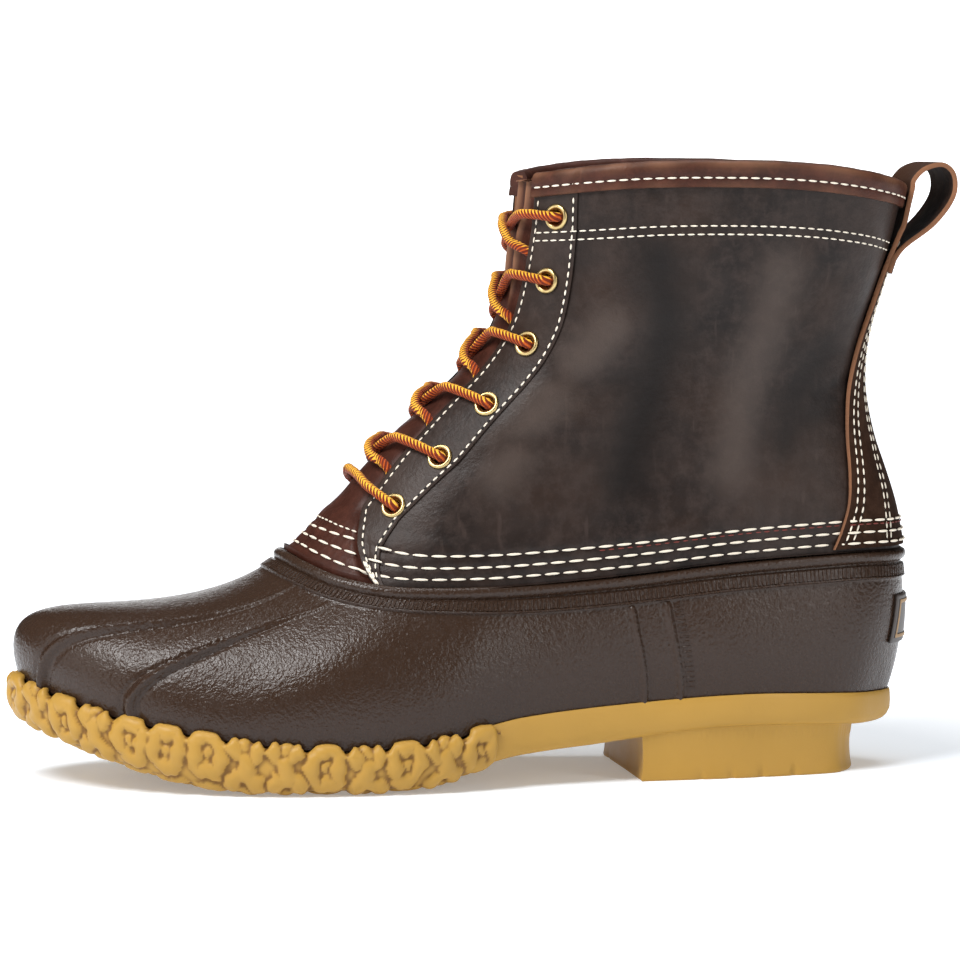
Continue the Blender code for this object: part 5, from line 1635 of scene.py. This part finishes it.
def stitch(kind, u, height, proud):
    """Seam of one kind along a line on the shaft, at a distance out of its face.

    It is drawn in small meshes first, because a large one grows slowly.
    """
    piece, *sizes = STITCHES[kind]
    fresh = {name: bmesh.new() for name in (piece, "stitch_hole_shades")}
    pitch, length, thick, hole = (size * MM for size in sizes)
    u, height, proud = np.broadcast_arrays(u, height, proud)
    line = shaft(u, height, proud)
    outs = unit(shaft(u, height, proud + 1.0 * MM) - line)
    run = running(line)

    def sample(values, at):
        return np.array([np.interp(at, run, values[:, k]) for k in range(3)])

    count = max(int(run[-1] / pitch), 1)
    gap = run[-1] / count
    for n in range(count):
        at = (n + 0.5) * gap
        way = unit(sample(line, at + 0.3 * MM) - sample(line, at - 0.3 * MM))
        out = sample(outs, at)
        out = unit(out - way * np.dot(out, way))
        turn = Matrix((np.cross(out, way), out, way)).transposed().to_4x4()
        add_ball(fresh[piece], sample(line, at), turn,
                 (thick / 2.0, thick * 0.42, length / 2.0), 6)
        # Dark dot for each needle hole: painted shade.
        if hole:
            add_ball(fresh["stitch_hole_shades"], sample(line, n * gap) - out * thick * 0.06, turn,
                     (hole / 2.0, hole * 0.3, hole * 0.6), 4)
    for name, part in fresh.items():
        mesh = bpy.data.meshes.new("seam")
        part.to_mesh(mesh)
        part.free()
        SEAM_MESHES[name].from_mesh(mesh)
        bpy.data.meshes.remove(mesh)


def layers(side, share, height):
    """How far the layers of leather stand out at a share of the way from throat to back."""
    length = ring_length(height, side)
    on_facing = share * length < facing_width(height)
    on_strap = (1.0 - share) * length < strap_reach(height)
    return np.where(on_facing, FACING_STEP, 0.0) + np.where(on_strap, STRAP_GAP + STRAP_WALL, 0.0)


def stitch_rim(side):
    """Three heavy rows over the rim, and a red one that starts behind the facing."""
    share = np.linspace(0.012, 1.0, 220)
    u = ring_u(0.05 + 0.0 * share, share, side)
    for lift in SEAM_ROWS:
        height = lift_height(u, lift * MM)
        on_facing = share * ring_length(height, side) < facing_width(height)
        proud = np.where(on_facing, 0.75, 0.42) * MM
        stitch("heavy", u, height, layers(side, share, height) + proud)
    keep = share > 0.38
    height = lift_height(u, 9.4 * MM)
    proud = layers(side, share, height) + 0.36 * MM
    stitch("red", u[keep], height[keep], proud[keep])


def stitch_collar(side):
    """Two rows under the collar from facing to strap, and one along the collar band."""
    share = np.linspace(0.012, 1.0, 220)
    for drop in (18.6, 21.2):
        height = 1.0 - (drop + 1.6 * share ** 3) * MM / SHAFT_RISE
        u = ring_u(height, share, side)
        length = ring_length(height, side)
        keep = ((share * length > 2.4 * MM)
                & ((1.0 - share) * length > strap_reach(height) + 0.4 * MM))
        proud = layers(side, share, height) + 0.08 * MM + folds(shaft(u, height))
        stitch("collar", u[keep], height[keep], proud[keep])
    share = np.linspace(0.006, 0.965, 220)
    height = 1.0 - 3.9 * MM / SHAFT_RISE + 0.0 * share
    on_facing = share * ring_length(1.0, side) < facing_width(1.0)
    stitch("band", ring_u(height, share, side), height, 1.4 * MM + on_facing * FACING_STEP)


def stitch_facing(side):
    """Rows along both edges of the facing, and the tack at its foot."""
    height = np.linspace(0.015, 0.94, 240)
    width = facing_width(height)
    for inset in (np.minimum(2.4 * MM, 0.5 * width), np.maximum(width - 1.3 * MM, 0.6 * width)):
        u = step_along(throat_u(height, side), height, side * inset)
        swell = seam_swell(height * 130.0) * MM
        proud = FACING_STEP + 0.06 * MM + folds(shaft(u, height)) * 0.5 + swell
        stitch("facing", u, height, proud)
    height = np.linspace(0.004, 0.045, 12)
    for inset in (1.0, 1.7):
        u = step_along(throat_u(height, side), height, side * inset * MM)
        stitch("tack", u, height, FACING_STEP + 0.6 * MM)


def stitch_strap(side):
    """Two rows along an edge of the back strap, and two that frame its middle."""
    back = 0.0 if side < 0 else AROUND
    rows = []
    for inset, high in ((2.3, 0.86), (4.6, 0.80)):
        height = np.linspace(0.03, high, 200)
        rows.append((height, strap_reach(height) - inset * MM))
    for inset in (0.0, 2.3):
        height = np.linspace(0.03, 0.70, 180)
        rows.append((height, (np.interp(height, (0.03, 0.3, 0.7), (21.0, 13.0, 6.5)) + inset) * MM))
    for height, reach in rows:
        u = step_along(back + 0.0 * height, height, -side * reach)
        stitch("strap", u, height, strap_lift(height) + STRAP_WALL + 0.12 * MM)


def stitch_vamp():
    """Rows across the vamp over the rim, by their lift at the middle and at the ends."""
    across = np.linspace(-1.0, 1.0, 160)
    for middle, ends, kind in ((9.0, 10.6, "heavy"), (6.2, 7.2, "heavy"), (3.5, 3.6, "heavy"),
                               (11.8, 12.4, "vamp")):
        low, high = (float(throat_u(np.array(ends * MM / SHAFT_RISE), side)) for side in (-1, 1))
        height = (middle + (ends - middle) * across ** 2) * MM / SHAFT_RISE
        stitch(kind, np.linspace(low + 0.06, high - 0.06, 160), height, 0.12 * MM)


def make_stitches():
    """All the seams, in a piece for each kind of thread and one for the dark dots of painted shade
    at the needle holes.
    """
    for side in (-1, 1):
        stitch_rim(side)
        stitch_collar(side)
        stitch_facing(side)
        stitch_strap(side)
    stitch_vamp()
    for name, bm in SEAM_MESHES.items():
        place_object(name, bm, SEAM_MATERIALS[name], (), 180.0)


make_shell()
make_rim_ribs()
make_side_ladders()
make_chain_tread()
make_wedge()
make_heel()
make_insole()
make_quarters()
make_facings()
make_tongue()
make_binding()
make_strap()
make_patch()
make_eyelets()
make_lace()
make_stitches()


# Stage

def stage_plane(name, size, matrix, material):
    """Square in the picture that isn't part of the object."""
    bm = bmesh.new()
    bmesh.ops.create_grid(bm, x_segments=1, y_segments=1, size=size, matrix=matrix)
    mesh = bpy.data.meshes.new(name)
    bm.to_mesh(mesh)
    bm.free()
    mesh.materials.append(material)
    plane = bpy.data.objects.new(name, mesh)
    bpy.context.scene.collection.objects.link(plane)


def floor_with_painted_glow():
    """White floor that glows more with its distance from the boot: painted light that washes out
    cast shadows further out, with painted shade left under the boot.
    """
    white, tree, glow, where = material_named("floor_painted_glow")
    # Bluish base colour keeps the shade near the boot from taking a warm tint.
    glow.inputs["Base Color"].default_value = (0.80, 0.86, 0.93, 1.0)
    glow.inputs["Roughness"].default_value = 0.9
    glow.inputs["Emission Color"].default_value = (1.0, 1.0, 1.0, 1.0)
    far = add(tree, "ShaderNodeVectorMath", {0: where}, operation="LENGTH").outputs["Value"]
    slim = add(tree, "ShaderNodeMapping", {"Vector": where, "Scale": (0.40, 1.0, 1.0)})
    near = add(tree, "ShaderNodeVectorMath", {0: slim.outputs["Vector"]},
               operation="LENGTH").outputs["Value"]
    # Painted light: glow is lowest under the boot to keep shade there, and rises away from it until
    # cast shadows wash out.
    light = sum_of(tree, ranged(tree, near, 0.03, 0.08, 0.22, 0.32),
                   ranged(tree, far, 0.17, 0.32, 0.0, 0.62))
    tree.links.new(light, glow.inputs["Emission Strength"])
    return white


def make_stage():
    """White floor and backdrop, soft lights and the photographer's long lens."""
    scene = bpy.context.scene
    world = bpy.data.worlds.new("white_room")
    scene.world = world
    world.use_nodes = True
    background = world.node_tree.nodes["Background"]
    background.inputs["Color"].default_value = (1.0, 1.0, 1.0, 1.0)
    background.inputs["Strength"].default_value = 0.07
    scene.view_settings.view_transform = "Standard"

    stage_plane("floor", 6.0, Matrix(), floor_with_painted_glow())
    white = plain("white_backdrop", (0.9, 0.9, 0.9), 0.9, spread=0.0)
    glow = white.node_tree.nodes["Principled BSDF"]
    glow.inputs["Emission Color"].default_value = (1.0, 1.0, 1.0, 1.0)
    glow.inputs["Emission Strength"].default_value = 1.0
    upright = Matrix.Translation((0.525, 3.0, 0.35)) @ Matrix.Rotation(math.pi / 2.0, 4, "X")
    stage_plane("backdrop", 0.75, upright, white)

    for name, place, aim, size, power in (
            ("key_softbox", (-0.70, -0.60, 1.15), (0.0, 0.0, 0.08), (0.6, 0.6), 21.0),
            ("top_softbox", (0.25, 0.15, 1.4), (0.0, 0.0, 0.1), (0.8, 0.5), 9.0),
            ("side_softbox", (0.9, -1.1, 0.55), (0.05, 0.0, 0.1), (0.35, 0.8), 5.0),
            ("toe_softbox", (-1.1, -0.34, 0.42), (-0.1, 0.0, 0.04), (0.6, 0.6), 2.4)):
        light = bpy.data.lights.new(name, "AREA")
        light.shape = "RECTANGLE"
        light.size, light.size_y = size
        light.energy = power
        lamp = bpy.data.objects.new(name, light)
        lamp.location = place
        way = Vector(aim) - Vector(place)
        lamp.rotation_euler = way.to_track_quat("-Z", "Y").to_euler()
        scene.collection.objects.link(lamp)

    camera = bpy.data.cameras.new("long_lens")
    camera.sensor_width = 36.0
    camera.lens = 168.75
    camera.clip_end = 20.0
    viewer = bpy.data.objects.new("camera", camera)
    viewer.location = (-0.2643, -1.4762, 0.216)
    viewer.rotation_euler = (math.radians(90.0 - 4.50), 0.0, math.radians(-10.0))
    scene.collection.objects.link(viewer)
    scene.camera = viewer


make_stage()
